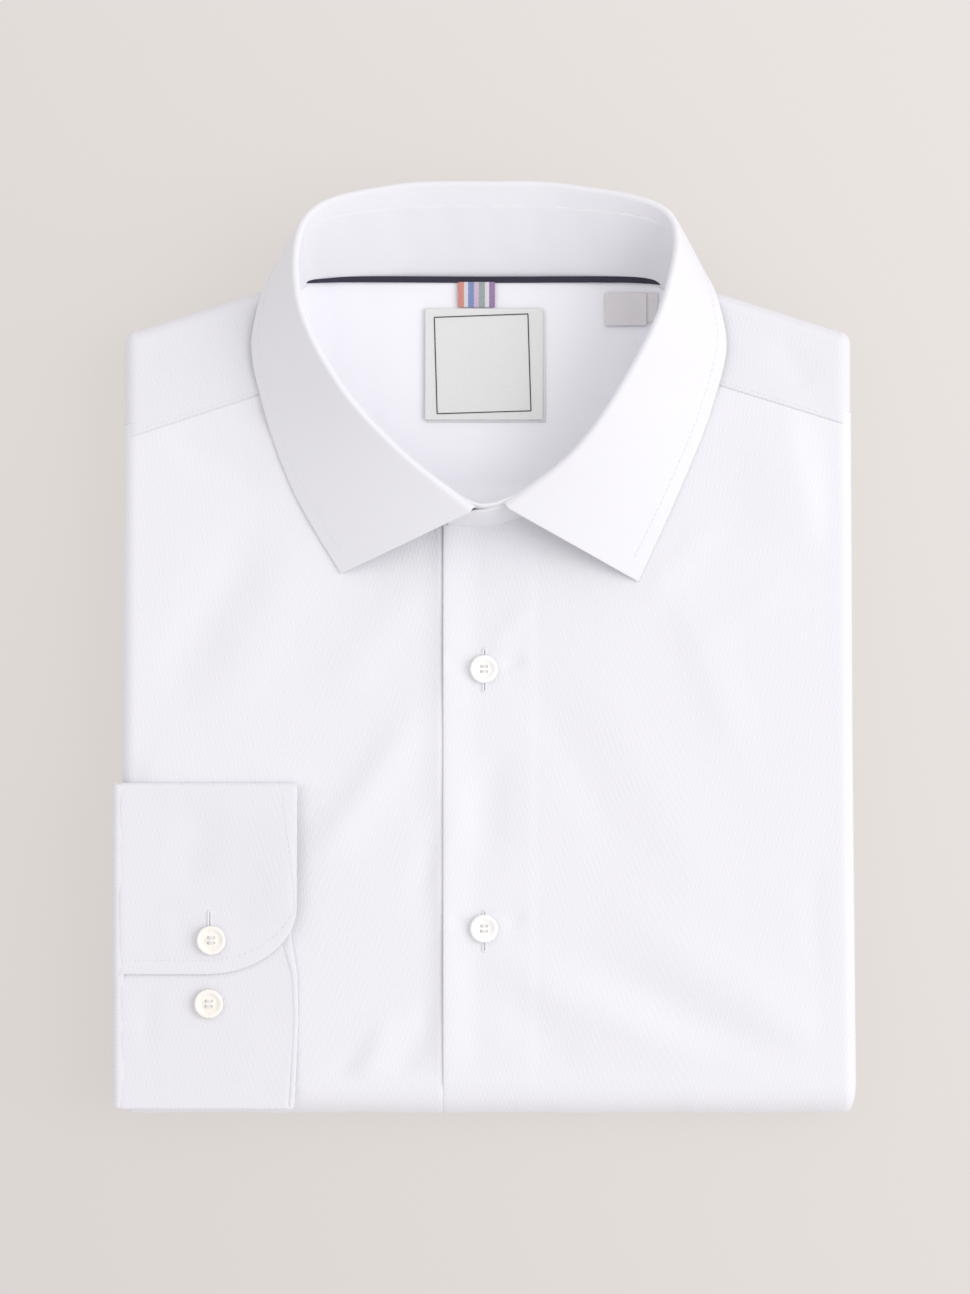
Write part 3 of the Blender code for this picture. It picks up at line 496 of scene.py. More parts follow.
def shares(count, length, close=(0.0, 0.08, 0.25, 0.5, 0.9)):
    """Even shares from 0 to 1, with closer ones at both ends of a strip of that length."""
    near = np.array(close) / length
    inner = np.linspace(near[-1] * 1.7, 1.0 - near[-1] * 1.7, count)
    return np.concatenate([near, inner, 1.0 - near[::-1]])


def eased(values, times):
    """Each row mixed with its neighbours, so often."""
    for _ in range(times):
        beside = 0.5 * (values[:-2] + values[2:])
        values = np.concatenate([values[:1], 0.5 * (values[1:-1] + beside), values[-1:]])
    return values


def ripple(where, a, b=0.0):
    """A sum of sines, each with its own direction, wavelength, phase and height."""
    total = 0.0
    for along_a, along_b, phase, height in WAVES[where]:
        total = total + height * np.sin(a * along_a + b * along_b + phase)
    return total


# Meshes


def quads_of(rows, columns, ring):
    """Quads between the neighbours of a grid; a ring joins its last column to its first one."""
    i = np.arange(rows - 1)[:, None] * columns
    j = np.arange(columns if ring else columns - 1)[None, :]
    k = (j + 1) % columns
    return np.stack([i + j, i + k, i + columns + k, i + columns + j], axis=-1).reshape(-1, 4)


def make_mesh(name, points, uv, facing, ring=False, weld=False):
    """A mesh through a grid of points, rows by columns, with quads between neighbours.

    facing gives a row, a column and the direction that the face there looks to. The uv of a ring
    has one column more than its points; uv can be left out.
    """
    rows, columns = points.shape[:2]
    if uv is None:
        uv = np.zeros((rows, columns + ring, 2))
    quads = quads_of(rows, columns, ring)
    corners = np.stack([uv[:-1, :-1], uv[:-1, 1:], uv[1:, 1:], uv[1:, :-1]], axis=2).reshape(-1, 4, 2)
    row, column, direction = facing
    beside = (column + 1) % columns
    side_a = points[row, beside] - points[row, column]
    side_b = points[row + 1, column] - points[row, column]
    if np.dot(np.cross(side_a, side_b), direction) < 0.0:
        quads = quads[:, ::-1]
        corners = corners[:, ::-1]
    return mesh_from(name, points.reshape(-1, 3) * MM, quads, corners * MM, weld)


def mesh_from(name, vertices, faces, corners=None, weld=False):
    """An object at the origin with these vertices, faces of one size and corner coordinates."""
    mesh = bpy.data.meshes.new(name)
    sides = faces.shape[1]
    mesh.vertices.add(len(vertices))
    mesh.vertices.foreach_set("co", np.ascontiguousarray(vertices, dtype=np.float32).ravel())
    mesh.loops.add(faces.size)
    mesh.loops.foreach_set("vertex_index", np.ascontiguousarray(faces, dtype=np.int32).ravel())
    mesh.polygons.add(len(faces))
    mesh.polygons.foreach_set("loop_start", np.arange(0, faces.size, sides, dtype=np.int32))
    mesh.update(calc_edges=True)
    if corners is not None:
        layer = mesh.uv_layers.new(name=CLOTH_UV)
        layer.data.foreach_set("uv", np.ascontiguousarray(corners, dtype=np.float32).ravel())
    mesh.validate()
    if weld:
        shape = bmesh.new()
        shape.from_mesh(mesh)
        bmesh.ops.remove_doubles(shape, verts=shape.verts, dist=2e-6)
        shape.to_mesh(mesh)
        shape.free()
    mesh.shade_smooth()
    obj = bpy.data.objects.new(name, mesh)
    bpy.context.scene.collection.objects.link(obj)
    return obj


def flat_uv(points, u0=0.0, ring=False):
    """Lengths along the cloth: u along the columns and v along the rows."""
    if ring:
        points = np.concatenate([points, points[:, :1]], axis=1)
    return np.stack([arc(points, 1) + u0, arc(points, 0)], axis=-1)


def facing_of(points):
    """Square to the grid: the cross product of its two directions."""
    return unit(np.cross(np.gradient(points, axis=1), np.gradient(points, axis=0)))


def both_sides(points, half, reach):
    """Both faces of a cloth, twice half thick, with rounded edges.

    A point moves half either way along the normal; near an edge, half shrinks as a quarter circle.
    """
    across, down = arc(points, 1), arc(points, 0)
    room = np.minimum(
        np.minimum(across, across[:, -1:] - across), np.minimum(down, down[-1:] - down)
    )
    near = 1.0 - np.clip(room / reach, 0.0, 1.0)
    swell = (half * np.sqrt(np.clip(1.0 - near**2, 0.0, 1.0)))[..., None]
    normal = facing_of(points)
    return points + normal * swell, points - normal * swell


def cloth_both(name, points, half, facing, reach=None):
    """A thick soft piece: both faces of the grid in one closed mesh."""
    uv = flat_uv(points)
    first, second = both_sides(points, half, half if reach is None else reach)
    grid = np.concatenate([first, second[:, -2:0:-1]], axis=1)
    ring_uv = np.concatenate([uv, uv[:, -2::-1]], axis=1)
    row, column, direction = facing
    if np.dot(facing_of(points)[row, column], direction) < 0.0:
        column = 2 * points.shape[1] - 3 - column
    return make_mesh(name, grid, ring_uv, (row, column, direction), ring=True, weld=True)


def give_wall(obj, thickness, even=True):
    """Cloth of one thickness inside the surface."""
    wall = obj.modifiers.new("Cloth", "SOLIDIFY")
    wall.thickness = thickness * MM
    wall.offset = -1.0
    wall.use_even_offset = even


def cloth_shell(name, points, facing, uv=None, even=True, ring=False, weld=False):
    """A thin piece: one mesh through the grid, with a wall as thick as the cotton."""
    uv = flat_uv(points, ring=ring) if uv is None else uv
    obj = make_mesh(name, points, uv, facing, ring, weld)
    give_wall(obj, bpy.context.scene.shirt_sizes.cloth_thickness / MM, even)
    return obj


def repeated(name, vertices, faces, places, axes):
    """One small shape set at many places: each copy turned to its own three axes."""
    placed = np.einsum("vc,nck->nvk", vertices, axes) + places[:, None, :]
    step = np.arange(len(places))[:, None, None] * len(vertices)
    every = (faces[None] + step).reshape(-1, faces.shape[1])
    return mesh_from(name, placed.reshape(-1, 3) * MM, every)


# Shape of the folded body


def shoulder_y(x):
    """y of the shoulder fold at x: it slopes up evenly from the side folds towards the neck."""
    _, left, right = SIDE_EDGES[-1]
    return SHOULDER_Y + (np.where(x < 0.0, -left, right) - np.abs(x)) * SHOULDER_SLOPE


def ridges(table, x, y, sway=0.03):
    """Sum of long soft ridges: each a bell across its line, eased in and out along it.

    The line sways as a sine, by this share of its length.
    """
    total = np.zeros(np.broadcast(x, y).shape)
    for x0, y0, x1, y1, lit, shaded, tall in table:
        length = np.hypot(x1 - x0, y1 - y0)
        run_x, run_y = (x1 - x0) / length, (y1 - y0) / length
        ahead = (x - x0) * run_x + (y - y0) * run_y
        aside = (x - x0) * run_y - (y - y0) * run_x
        aside = aside + sway * length * np.sin(3.1 * ahead / length + x0)
        width = np.where(aside * np.sign(run_y + 1e-9) > 0.0, lit, shaded)
        ends = smooth(-0.25 * length, 0.3 * length, ahead)
        ends = ends * smooth(1.25 * length, 0.7 * length, ahead)
        total = total + tall * ends * np.exp(-((aside / width) ** 2))
    return total


def faded(height, x, y, half, widths):
    """A height that fades out towards the side, hem and shoulder folds, over these widths."""
    sides, hem, shoulder = widths
    height = height * smooth(0.0, sides, half - np.abs(x)) * smooth(TURN_Y, TURN_Y + hem, y)
    return height * smooth(0.0, shoulder, shoulder_y(x) - BODY_THICK / 2 - y)


def plain_lift(x, y):
    """How far the upper face stands above TOP_Z: a low crown and the soft folds."""
    height = CROWN * (1.0 - (x / FACE_HALF) ** 2) + ridges(SOFT_FOLDS, x, y, sway=0.0)
    return faded(height, x, y, FACE_HALF, FOLD_FADES)


def creased(x, y):
    """Creases of the cloth itself, left out under the cuff and at the folds."""
    height = ridges(CREASES, x, y) + ripple("relief", x, y)
    height = height * (1.0 - smooth(*UNDER_CUFF_X, x) * smooth(*UNDER_CUFF_Y, y))
    swell = smooth(CUFF_SWELL_Y, CUFF_TOP_Y, y) * smooth(CUFF_TOP_Y - 3.0, CUFF_TOP_Y - 0.5, y)
    height = height + CUFF_SWELL * swell * smooth(*CUFF_SWELL_X, x)
    return faded(height, x, y, FACE_HALF + 1.0, CREASE_FADES)


def upper_face(x, y):
    """Height of the outer face of the body, rounded off at the shoulder fold."""
    radius = BODY_THICK / 2
    past = np.clip(y - (shoulder_y(x) - radius), 0.0, radius)
    return TOP_Z + plain_lift(x, y) - (radius - np.sqrt(radius**2 - past**2))


def clear_of_body(points):
    """Points moved up off the fronts and out from the shoulder folds, where they are too near."""
    x, y, z = np.moveaxis(points, -1, 0)
    middle_y = shoulder_y(x) - BODY_THICK / 2
    middle_z = TOP_Z + plain_lift(x, y) - BODY_THICK / 2
    past = y - middle_y
    away = np.hypot(past, z - middle_z)
    reach = BODY_THICK / 2 + LEAF_CLEAR + LEAF_CLEAR_AT_FOLD * smooth(-10.0, -1.0, past)
    scale = np.maximum(reach / away, 1.0)
    over_yoke = np.abs(x) > OVER_YOKE_X
    over_fold = (past > 0.0) & over_yoke
    over_front = (past <= 0.0) & (over_yoke | (y < OVER_FRONT_Y))
    z = np.where(over_front, np.maximum(z, middle_z + reach), z)
    moved_y = np.where(over_fold, middle_y + past * scale, y)
    moved_z = np.where(over_fold, middle_z + (z - middle_z) * scale, z)
    return np.stack([x, moved_y, moved_z], axis=-1)


def thickness_at(q):
    """Thickness of the flattened tube: it narrows evenly round each turn."""
    at_turn = (TURNED_THICK - BODY_THICK) * np.clip(q - 1.0, 0.0, 1.0)
    at_tail = (TAIL_THICK - TURNED_THICK) * np.clip(q - 3.0, 0.0, 1.0)
    return BODY_THICK + at_turn + at_tail


def edge_at(side, q, y):
    """x of the left (-1) or right (+1) fold of the flattened tube."""
    column = 1 if side < 0 else 2
    upper = along(SIDE_EDGES, y, column)
    under = along(UNDER_EDGES, y, column) - side * 2.0 * smooth(3.6, 4.2, q)
    return upper + (under - upper) * np.clip(q - 1.0, 0.0, 1.0)


def path_y(q, upper_y):
    """y down the front for q from 0 to 1, up underneath from 2 to 3, and down inside from 4."""
    front = upper_y + (TURN_Y - upper_y) * np.clip(q, 0.0, 1.0)
    under = TURN_Y + (TAIL_TURN_Y - TURN_Y) * np.clip(q - 2.0, 0.0, 1.0)
    tail = TAIL_TURN_Y + (TAIL_END_Y - TAIL_TURN_Y) * np.clip(q - 4.0, 0.0, 1.0)
    return np.where(q <= 1.0, front, np.where(q <= 4.0, under, tail))


def laid(q, x, y, depth, height):
    """Points of the folded body at a depth below its outer face, the front lifted by a height.

    q from 0 to 1 is the front, to 2 the turn at the hem, a half circle about TURN_Y, to 3 the part
    underneath, to 4 the second turn, a half circle too, and to 5 the tail that lies inside.
    """
    turn = np.pi * np.clip(q - 1.0, 0.0, 1.0)
    tail_turn = np.pi * np.clip(q - 3.0, 0.0, 1.0)
    reach = TURN_Z - depth
    tail_reach = TAIL_INNER + thickness_at(q) - depth
    flat_z = TOP_Z - depth + height * (1.0 - depth / BODY_THICK)
    hem = (TURN_Y - reach * np.sin(turn), TURN_Z + reach * np.cos(turn))
    tail = (TAIL_TURN_Y + tail_reach * np.sin(tail_turn), TAIL_TURN_Z - tail_reach * np.cos(tail_turn))
    inside_z = TAIL_TURN_Z + TAIL_INNER + TAIL_THICK - depth
    shape = np.broadcast(q, x, y, depth).shape
    stretches = [np.broadcast_to(q <= end, shape) for end in (1.0, 2.0, 3.0, 4.0)]
    new_y = np.select(stretches, [y, hem[0], y, tail[0]], y)
    new_z = np.select(stretches, [flat_z, hem[1], depth, tail[1]], inside_z)
    return np.stack([np.broadcast_to(x, shape), new_y, new_z], axis=-1)


def body_places(front, *counts):
    """Places q along the path of the body: those on the front, then so many on each stretch."""
    after = [
        np.linspace(start, start + 1.0, count + 1)[1:] for start, count in enumerate(counts, 1)
    ]
    return np.concatenate([front, *after])[:, None]


def front_columns(side):
    """Start x, depth there, share of the way to the side fold, and angle round it, per column.

    The left front starts with its facing and the round centre edge, and both fronts end with a
    strip underneath.
    """
    start, dip, face_x = np.zeros(0), np.zeros(0), UNDERLAP_X
    if side > 0:
        roll = FACING_DEPTH / 2
        face_x = LEFT_EDGE_X + roll
        turn = np.radians(np.linspace(180.0, 0.0, 9))
        facing = np.linspace(FACING_X, face_x, 14)[:-1]
        start = np.concatenate([facing, face_x - roll * np.sin(turn)])
        dip = np.concatenate([np.full(len(facing), FACING_DEPTH), roll - roll * np.cos(turn)])
    face = np.linspace(0.0, 1.0, 100)[1 if side > 0 else 0:]
    fold = np.radians(np.linspace(0.0, 180.0, 17))[1:]
    under = np.linspace(1.0, 0.88, 7)[1:]
    share = np.concatenate([np.zeros(len(start)), face, np.ones(len(fold)), under])
    angle = np.concatenate([np.zeros(len(start) + len(face)), fold, np.full(len(under), np.pi)])
    rest = len(share) - len(start)
    start = np.concatenate([start, np.full(rest, face_x)])
    return start, np.concatenate([dip, np.zeros(rest)]), share, angle


def front_points(side):
    """One front on the path of the folded body.

    x is a column's start, eased to the root of the side fold by its share, plus the half thickness
    times the sine of its angle. The right front dips under the left one, which stands off it.
    """
    start, dip, share, angle = front_columns(side)
    upper = np.concatenate([np.linspace(0.0, 0.036, 19)[:-1], np.linspace(0.036, 1.0, 180)])
    q = body_places(upper, 22, 30, 10)
    thick = thickness_at(q)
    root = edge_at(side, q, path_y(q, 60.0)) - side * thick / 2
    x = start + (root - start) * share + side * thick / 2 * np.sin(angle)
    seam_y = along(FRONT_EDGE, x[0], 1)
    y = path_y(q, seam_y + 5.0 * smooth(72.0, 76.0, np.abs(x[0])) + 0.8)
    before_turn = smooth(TURN_Y, TURN_Y + 13.0, y) * (q <= 1.0)
    height = plain_lift(x, y) + creased(x, y)
    if side > 0:
        height = height + FACING_RISE * (1.0 - smooth(FACING_X - 0.5, FACING_X + 2.2, x))
        slack = EDGE_SLACK + ripple("left front edge", y)
        slack = EDGE_SLACK_AT_TURN + (slack - EDGE_SLACK_AT_TURN) * before_turn
        height = height + slack * (1.0 - smooth(LEFT_EDGE_X - 1.0, LEFT_EDGE_X + SLACK_WIDTH, x))
    else:
        edge_x = LEFT_EDGE_X - 0.3
        dip = UNDERLAP_DIP * smooth(edge_x, edge_x + 2.5, x)
        wide = CLIMB_WIDTH + ripple("right front climb", y)
        climb = np.clip(1.0 - (edge_x - x) / wide, 0.0, 1.0) ** 2 * before_turn
        dip = dip - UNDERLAP_CLIMB * climb * (1.0 - smooth(edge_x, edge_x + 1.8, x))
    below_yoke = smooth(-0.5, 0.8, y - seam_y) * (q <= 1.0) * (np.abs(x) > 71.0)
    depth = dip + thick / 2 * (1.0 - np.cos(angle)) + YOKE_SEAM_DEPTH * below_yoke * np.cos(angle)
    points = laid(q, x, y, depth, height)
    at_turn = np.sin(np.pi * np.clip(q - 0.98, 0.0, 1.04) / 1.04) * (np.abs(x) < 128.0)
    points[..., 1] += ripple("hem fold", x) * at_turn
    return points


def facing_top(x, y):
    """Height of the left front where its facing lies below it."""
    return TOP_Z + plain_lift(x, y) + creased(x, y) + FACING_RISE


def inner_yoke_z(x, y):
    """Upper side of the inner yoke: it slopes down to the back and rises at the neckline."""
    share = (y - INNER_YOKE_FRONT_Y) / (INNER_YOKE_BACK_Y - INNER_YOKE_FRONT_Y)
    slope = INNER_YOKE_FRONT_Z + (INNER_YOKE_BACK_Z - INNER_YOKE_FRONT_Z) * share
    return slope + along(INNER_YOKE_SECTION, np.abs(x), 1)


def lying_z(x, y, box, level, bow, curl):
    """Height of a small piece on the inner yoke: bowed in its middle, curled at sides and front."""
    left, right, low, high = box
    u = (x - left) / (right - left)
    v = (y - low) / (high - low)
    bowed = bow * np.sin(np.pi * v) * (0.7 + 0.3 * np.sin(np.pi * u))
    curled = curl * (0.6 * (2.0 * u - 1.0) ** 6 + 0.8 * (1.0 - v) ** 8)
    return inner_yoke_z(x, y) + level + bowed + curled


def yoke_points():
    """The yoke's outer layer: a ring open at the neck, closed over the shoulder folds.

    Across it goes over the left shoulder, round the side fold and back under the neck to the right
    one. Rows run from the seam to the fold, where the thickness shrinks as a cosine.
    """
    radius = BODY_THICK / 2
    q = np.concatenate([np.linspace(0.0, 1.0, YOKE_ROWS), np.ones(12)])[:, None]
    turn = np.radians(np.linspace(0.0, 90.0, 13))[1:]
    turn = np.concatenate([np.zeros(YOKE_ROWS), turn])[:, None]
    squeeze = np.cos(turn)
    down = np.linspace(0.0, 1.0, len(q))[:, None]

    share = np.linspace(0.0, 1.0, 32)
    angle = np.linspace(0.0, np.pi, 14)[1:-1]
    centre = np.linspace(-NECK_SIDE_X, NECK_SIDE_X, 44)[1:-1]

    def half(side):
        """Columns of one shoulder, from its neckline on top, round the fold, and back below."""
        column = 1 if side < 0 else 2
        root = along(SIDE_EDGES, YOKE_SIDE_Y, column) - side * radius
        neck = along(YOKE_NECKLINE, q, column)
        top = neck + (root - neck) * share
        fold = root + side * radius * squeeze * np.sin(angle)
        below = side * NECK_SIDE_X + (root - side * NECK_SIDE_X) * share[::-1]
        x = np.concatenate([top, fold, np.broadcast_to(below, top.shape)], axis=1)
        phi = np.concatenate([np.zeros(len(share)), angle, np.full(len(share), np.pi)])
        return x, phi

    left_x, left_phi = half(-1)
    right_x, right_phi = half(1)
    middle_x = np.broadcast_to(centre, (len(q), len(centre)))
    x = np.concatenate([left_x, middle_x, right_x[:, ::-1]], axis=1)
    phi = np.concatenate([left_phi, np.full(len(centre), np.pi), right_phi[::-1]])
    depth = radius - radius * squeeze * np.cos(phi)
    seam_y = along(FRONT_EDGE, x[0], 1) + 0.3
    fold_y = shoulder_y(x[-1])
    y = seam_y + (fold_y - radius - seam_y) * q + radius * np.sin(turn)
    z = TOP_Z - depth + (plain_lift(x, y) + creased(x, y)) * (1.0 - depth / BODY_THICK)
    low = smooth(NECK_SIDE_X, NECK_SIDE_X - 20.0, np.abs(x)) * (phi > 3.0)
    y = y + (YOKE_HEM_Y + (YOKE_NECK_Y - YOKE_HEM_Y) * down - y) * low
    z = z + (TOP_Z - BODY_THICK - YOKE_DROP * down - z) * low
    return np.stack([x, y, z], axis=-1)


def inner_yoke_points():
    """What shows inside the neck: rings that shrink from the neck seam to its middle.

    A ring is the seam's line times the share left; the height is that of the inner yoke with slack
    ripples, and near the seam it is eased up to the foot of the stand.
    """
    place = np.append(np.linspace(0.0, 1.0, 210), 0.0)
    seam = collar_rows(place)[0]
    centre = np.array(LINING_CENTRE)
    reach = seam[:, 0:2] - centre
    reach = reach * (1.0 - LINING_INSET / np.linalg.norm(reach, axis=1, keepdims=True))
    reach[:, 1] = np.maximum(reach[:, 1], LINING_FRONT_Y - centre[1])
    share = np.concatenate([np.linspace(1.0, 0.8, 16), np.linspace(0.8, 0.02, 50)[1:]])[:, None]
    x = reach[:, 0] * share + centre[0]
    y = reach[:, 1] * share + centre[1]
    slack = ripple("inner yoke", x, y)
    free = smooth(24.0, 36.0, np.abs(x)) + smooth(82.0, 72.0, y)
    z = inner_yoke_z(x, y) + slack * np.clip(free, 0.0, 1.0)
    inside = (1.0 - share) * np.linalg.norm(reach, axis=1)
    rim = np.where(seam[:, 1] > LINING_BACK_Y, z, np.maximum(seam[:, 2] - 0.2, z))
    z = z + (rim - z) * smooth(9.0, 0.0, inside)
    return np.stack([x, y, z], axis=-1)


def collar_rows(place):
    """Seam, fold and leaf edge round the neck, with the stand's share and the leaf's bulge."""
    rows = through(COLLAR, place)
    return rows[:, 0:3], rows[:, 3:6], rows[:, 6:9], rows[:, 9:10], rows[:, 10:11]


def leaf_points():
    """The fall of the collar: up behind the stand's top, round a roll, and down to its edge.

    Across the collar the roll is an arc about its centre. It ends where its tangent points at the
    leaf's edge, less an angle for the bulge, and a quadratic Bezier curve runs on from there.
    """
    place = shares(150, LEAF_LENGTH)
    seam, fold, edge, share, bulge = collar_rows(place)
    length = np.linalg.norm(fold - seam, axis=1, keepdims=True)
    rise = (fold - seam) / length
    out = unit(np.cross(rise, np.gradient(fold, place, axis=0)))
    from_end = np.minimum(place, 1.0 - place)[:, None]
    radius = ROLL_RADIUS + ROLL_END * np.exp(-((from_end / 0.045) ** 2))
    roll = fold - radius * rise + radius * out
    first = seam + rise * (length * share - 0.45)
    reach = edge - roll
    along_rise = np.sum(reach * rise, axis=1, keepdims=True)
    along_out = np.sum(reach * out, axis=1, keepdims=True)
    far = np.hypot(along_rise, along_out)
    last = np.arctan2(along_out, along_rise) + np.arcsin(radius / far)
    last = last - np.arctan(4.0 * LEAF_BULGE * bulge / far)
    turn = (last * np.linspace(0.0, 1.0, 13))[..., None]
    rolled = roll[:, None] + radius[:, None] * (
        rise[:, None] * np.sin(turn) - out[:, None] * np.cos(turn)
    )
    rising = np.array([0.0, 0.03, 0.1, 0.3, 0.65])[None, :, None]
    inner = first[:, None] + (rolled[:, :1] - first[:, None]) * rising
    start = rolled[:, -1]
    leaving = rise * np.cos(last) + out * np.sin(last)
    sideways = unit(np.cross(rise, out))
    slide = np.sum((edge - start) * sideways, axis=1, keepdims=True)
    chord = np.linalg.norm(edge - start - sideways * slide, axis=1, keepdims=True)
    control = start + leaving * np.hypot(chord / 2, 2.0 * LEAF_BULGE * bulge)
    control = control + sideways * slide / 2
    t = shares(26, LEAF_DEPTH)[5:][None, :, None]
    fall = (1 - t) ** 2 * start[:, None] + 2 * t * (1 - t) * control[:, None] + t**2 * edge[:, None]
    grid = np.concatenate([inner, rolled, fall], axis=1)
    grid = grid + eased(clear_of_body(grid) - grid, 14)
    way = arc(grid, 0)
    over = np.concatenate([np.zeros(inner.shape[1] + rolled.shape[1]), t[0, :, 0]])
    puckers = ripple("leaf puckers", way)
    soft = ripple("leaf", way, over * 40.0)
    at_seam = np.append(np.linspace(1.6, 0.3, 5), np.zeros(over.size - 5))
    amount = puckers * (np.exp(-(((over - 0.9) / 0.1) ** 2)) + at_seam) + soft * np.sin(np.pi * over)
    return grid - facing_of(grid) * amount[..., None]


def stand_points():
    """A band from the neckline to its share of the way to the fold, both ends run on to cross."""
    table = list(STAND_INNER_END)
    table += [row[0:6] + row[9:10] for row in COLLAR[1:-1]]
    table += STAND_OUTER_END
    rows = through(table, shares(150, STAND_LENGTH))
    seam, fold, share = rows[:, 0:3], rows[:, 3:6], rows[:, 6:7]
    rise = unit(fold - seam)
    top = seam + (fold - seam) * share + rise * 0.35
    foot = seam - rise * 0.7
    part = shares(14, STAND_DEPTH)[None, :, None]
    grid = foot[:, None] + (top - foot)[:, None] * part
    way = arc(grid, 0)
    amount = np.sin(np.pi * part[..., 0]) + 0.9 * part[..., 0] ** 4
    amount = amount * ripple("stand puckers", way)
    return grid + facing_of(grid) * amount[..., None]


def cuff_bed(x, y):
    """Height of the cuff's lowest layer: the cuff is stiff and lies on the front below it."""
    return upper_face(np.maximum(x, CUFF_BED_X), np.maximum(y, CUFF_BED_Y)) + CUFF_REST


def cuff_top(x, y):
    """Height of the cuff's uppermost layer."""
    return cuff_bed(x, y) + 2.0 * CUFF_LAYER + CUFF_HALF


def rounded_end(x, wrist_x, end_y, corner):
    """y of a band's end whose outer corner is a quarter of an ellipse."""
    wide, tall = corner
    past = np.clip((x - (wrist_x - wide)) / wide, 0.0, 1.0)
    return end_y + tall * (1.0 - np.sqrt(1.0 - past**2))


def cuff_points():
    """One flattened turn and a bit more, at three levels a layer apart, joined by half circles."""
    place = shares(46, CUFF_DEPTH)
    place = np.sort(np.concatenate([place, 1.0 - np.array([0.14, 0.09, 0.055, 0.03, 0.012])]))

    def across(layer, y):
        """x along the rows: from the seam to the wrist edge, which each layer has of its own."""
        low = along(CUFF_WRIST, y, 1)
        under = along(CUFF_WRIST, y, 2)
        wrist = np.where(
            layer <= 1.0,
            low + (under - low) * layer,
            under + (CUFF_WRIST_X - under) * (layer - 1.0),
        )
        wrist = np.where(y > -60.0, low + (CUFF_WRIST_X - low) * layer / 2.0, wrist)
        return CUFF_SEAM_X + (wrist - CUFF_SEAM_X) * place

    def rows(layer, y, height):
        """Points of these rows at a height above the bed."""
        y = np.broadcast_to(y, (y.shape[0], len(place)))
        x = across(layer, y)
        return np.stack([x, y, cuff_bed(x, y) + height], axis=-1)

    def turned(middle_y, middle, radius, layers, count, way):
        """A half circle from one layer to another."""
        part = np.linspace(0.0, 1.0, count + 1)[1:-1, None]
        angle = np.pi * part
        y = middle_y + way * radius * np.sin(angle)
        height = middle + radius * np.cos(angle) * way
        return rows(layers[0] + (layers[1] - layers[0]) * part, y, height)

    top_y = CUFF_TOP_Y - CUFF_LAYER - CUFF_WALL / 2
    low_y = CUFF_BOTTOM_Y + CUFF_LAYER / 2 + CUFF_WALL / 2
    straight = CUFF_SEAM_X + (CUFF_WRIST_X - CUFF_SEAM_X) * place
    overlap = rounded_end(straight, CUFF_WRIST_X, CUFF_OVERLAP_Y, CUFF_CORNER)
    under = CUFF_UNDER_Y - rounded_end(straight, CUFF_WRIST_X, 0.0, CUFF_UNDER_CORNER)
    part = shares(40, CUFF_END_LENGTH)[:, None]
    flat = np.linspace(0.0, 1.0, 50)[:, None]
    points = np.concatenate([
        rows(2.0, overlap + (top_y - overlap) * part[:-4], 2.0 * CUFF_LAYER),
        turned(top_y, CUFF_LAYER, CUFF_LAYER, (2.0, 0.0), 16, 1.0),
        rows(0.0, top_y + (low_y - top_y) * flat, 0.0),
        turned(low_y, CUFF_LAYER / 2, CUFF_LAYER / 2, (0.0, 1.0), 12, -1.0),
        rows(1.0, low_y + (under - low_y) * part[4:], CUFF_LAYER),
    ])
    x, y = points[..., 0], points[..., 1]
    soft = ripple("cuff", x, y) + ridges(CUFF_FOLDS, x, y)
    points[..., 2] += soft * smooth(0.0, 8.0, y - CUFF_BOTTOM_Y) * smooth(0.0, 6.0, CUFF_TOP_Y - y)
    return points


def sleeve_points(table, count, gathers, drop):
    """A flattened tube with half circles at its edges, carried along its path of x and z.

    Gathers ripple its outside, and its end drops where the cuff has one layer less.
    """
    rows = through(table, np.linspace(0.0, 1.0, count))
    path = rows[:, 0:2]
    normal = unit(np.gradient(path, axis=0))[:, ::-1] * (1.0, -1.0)
    low, high = rows[:, 2:3], rows[:, 3:4]
    angle = np.linspace(-np.pi / 2, np.pi / 2, 13)
    side = np.linspace(0.0, 1.0, 60)[1:-1]
    flat = np.ones(len(side))
    aside = SLEEVE_HALF * np.concatenate([np.sin(angle), flat, -np.sin(angle), -flat])
    bow = SLEEVE_HALF * (1.0 - np.cos(angle))
    across = (high - low - 2 * SLEEVE_HALF) * side
    y = np.concatenate(
        [low + bow, low + SLEEVE_HALF + across, high - bow, high - SLEEVE_HALF - across], axis=1
    )
    pleat = gathers * ripple("sleeve gathers", y)
    reach = aside + pleat * np.sign(aside) * (np.abs(aside) > 0.9)
    x = rows[:, 0:1] + normal[:, 0:1] * reach
    z = rows[:, 1:2] + normal[:, 1:2] * reach
    below = smooth(CUFF_OVERLAP_Y + 3.0, CUFF_OVERLAP_Y - 5.0, y) * smooth(14.0, 27.5, rows[:, 1:2])
    return np.stack([x, y, z - drop * below], axis=-1)


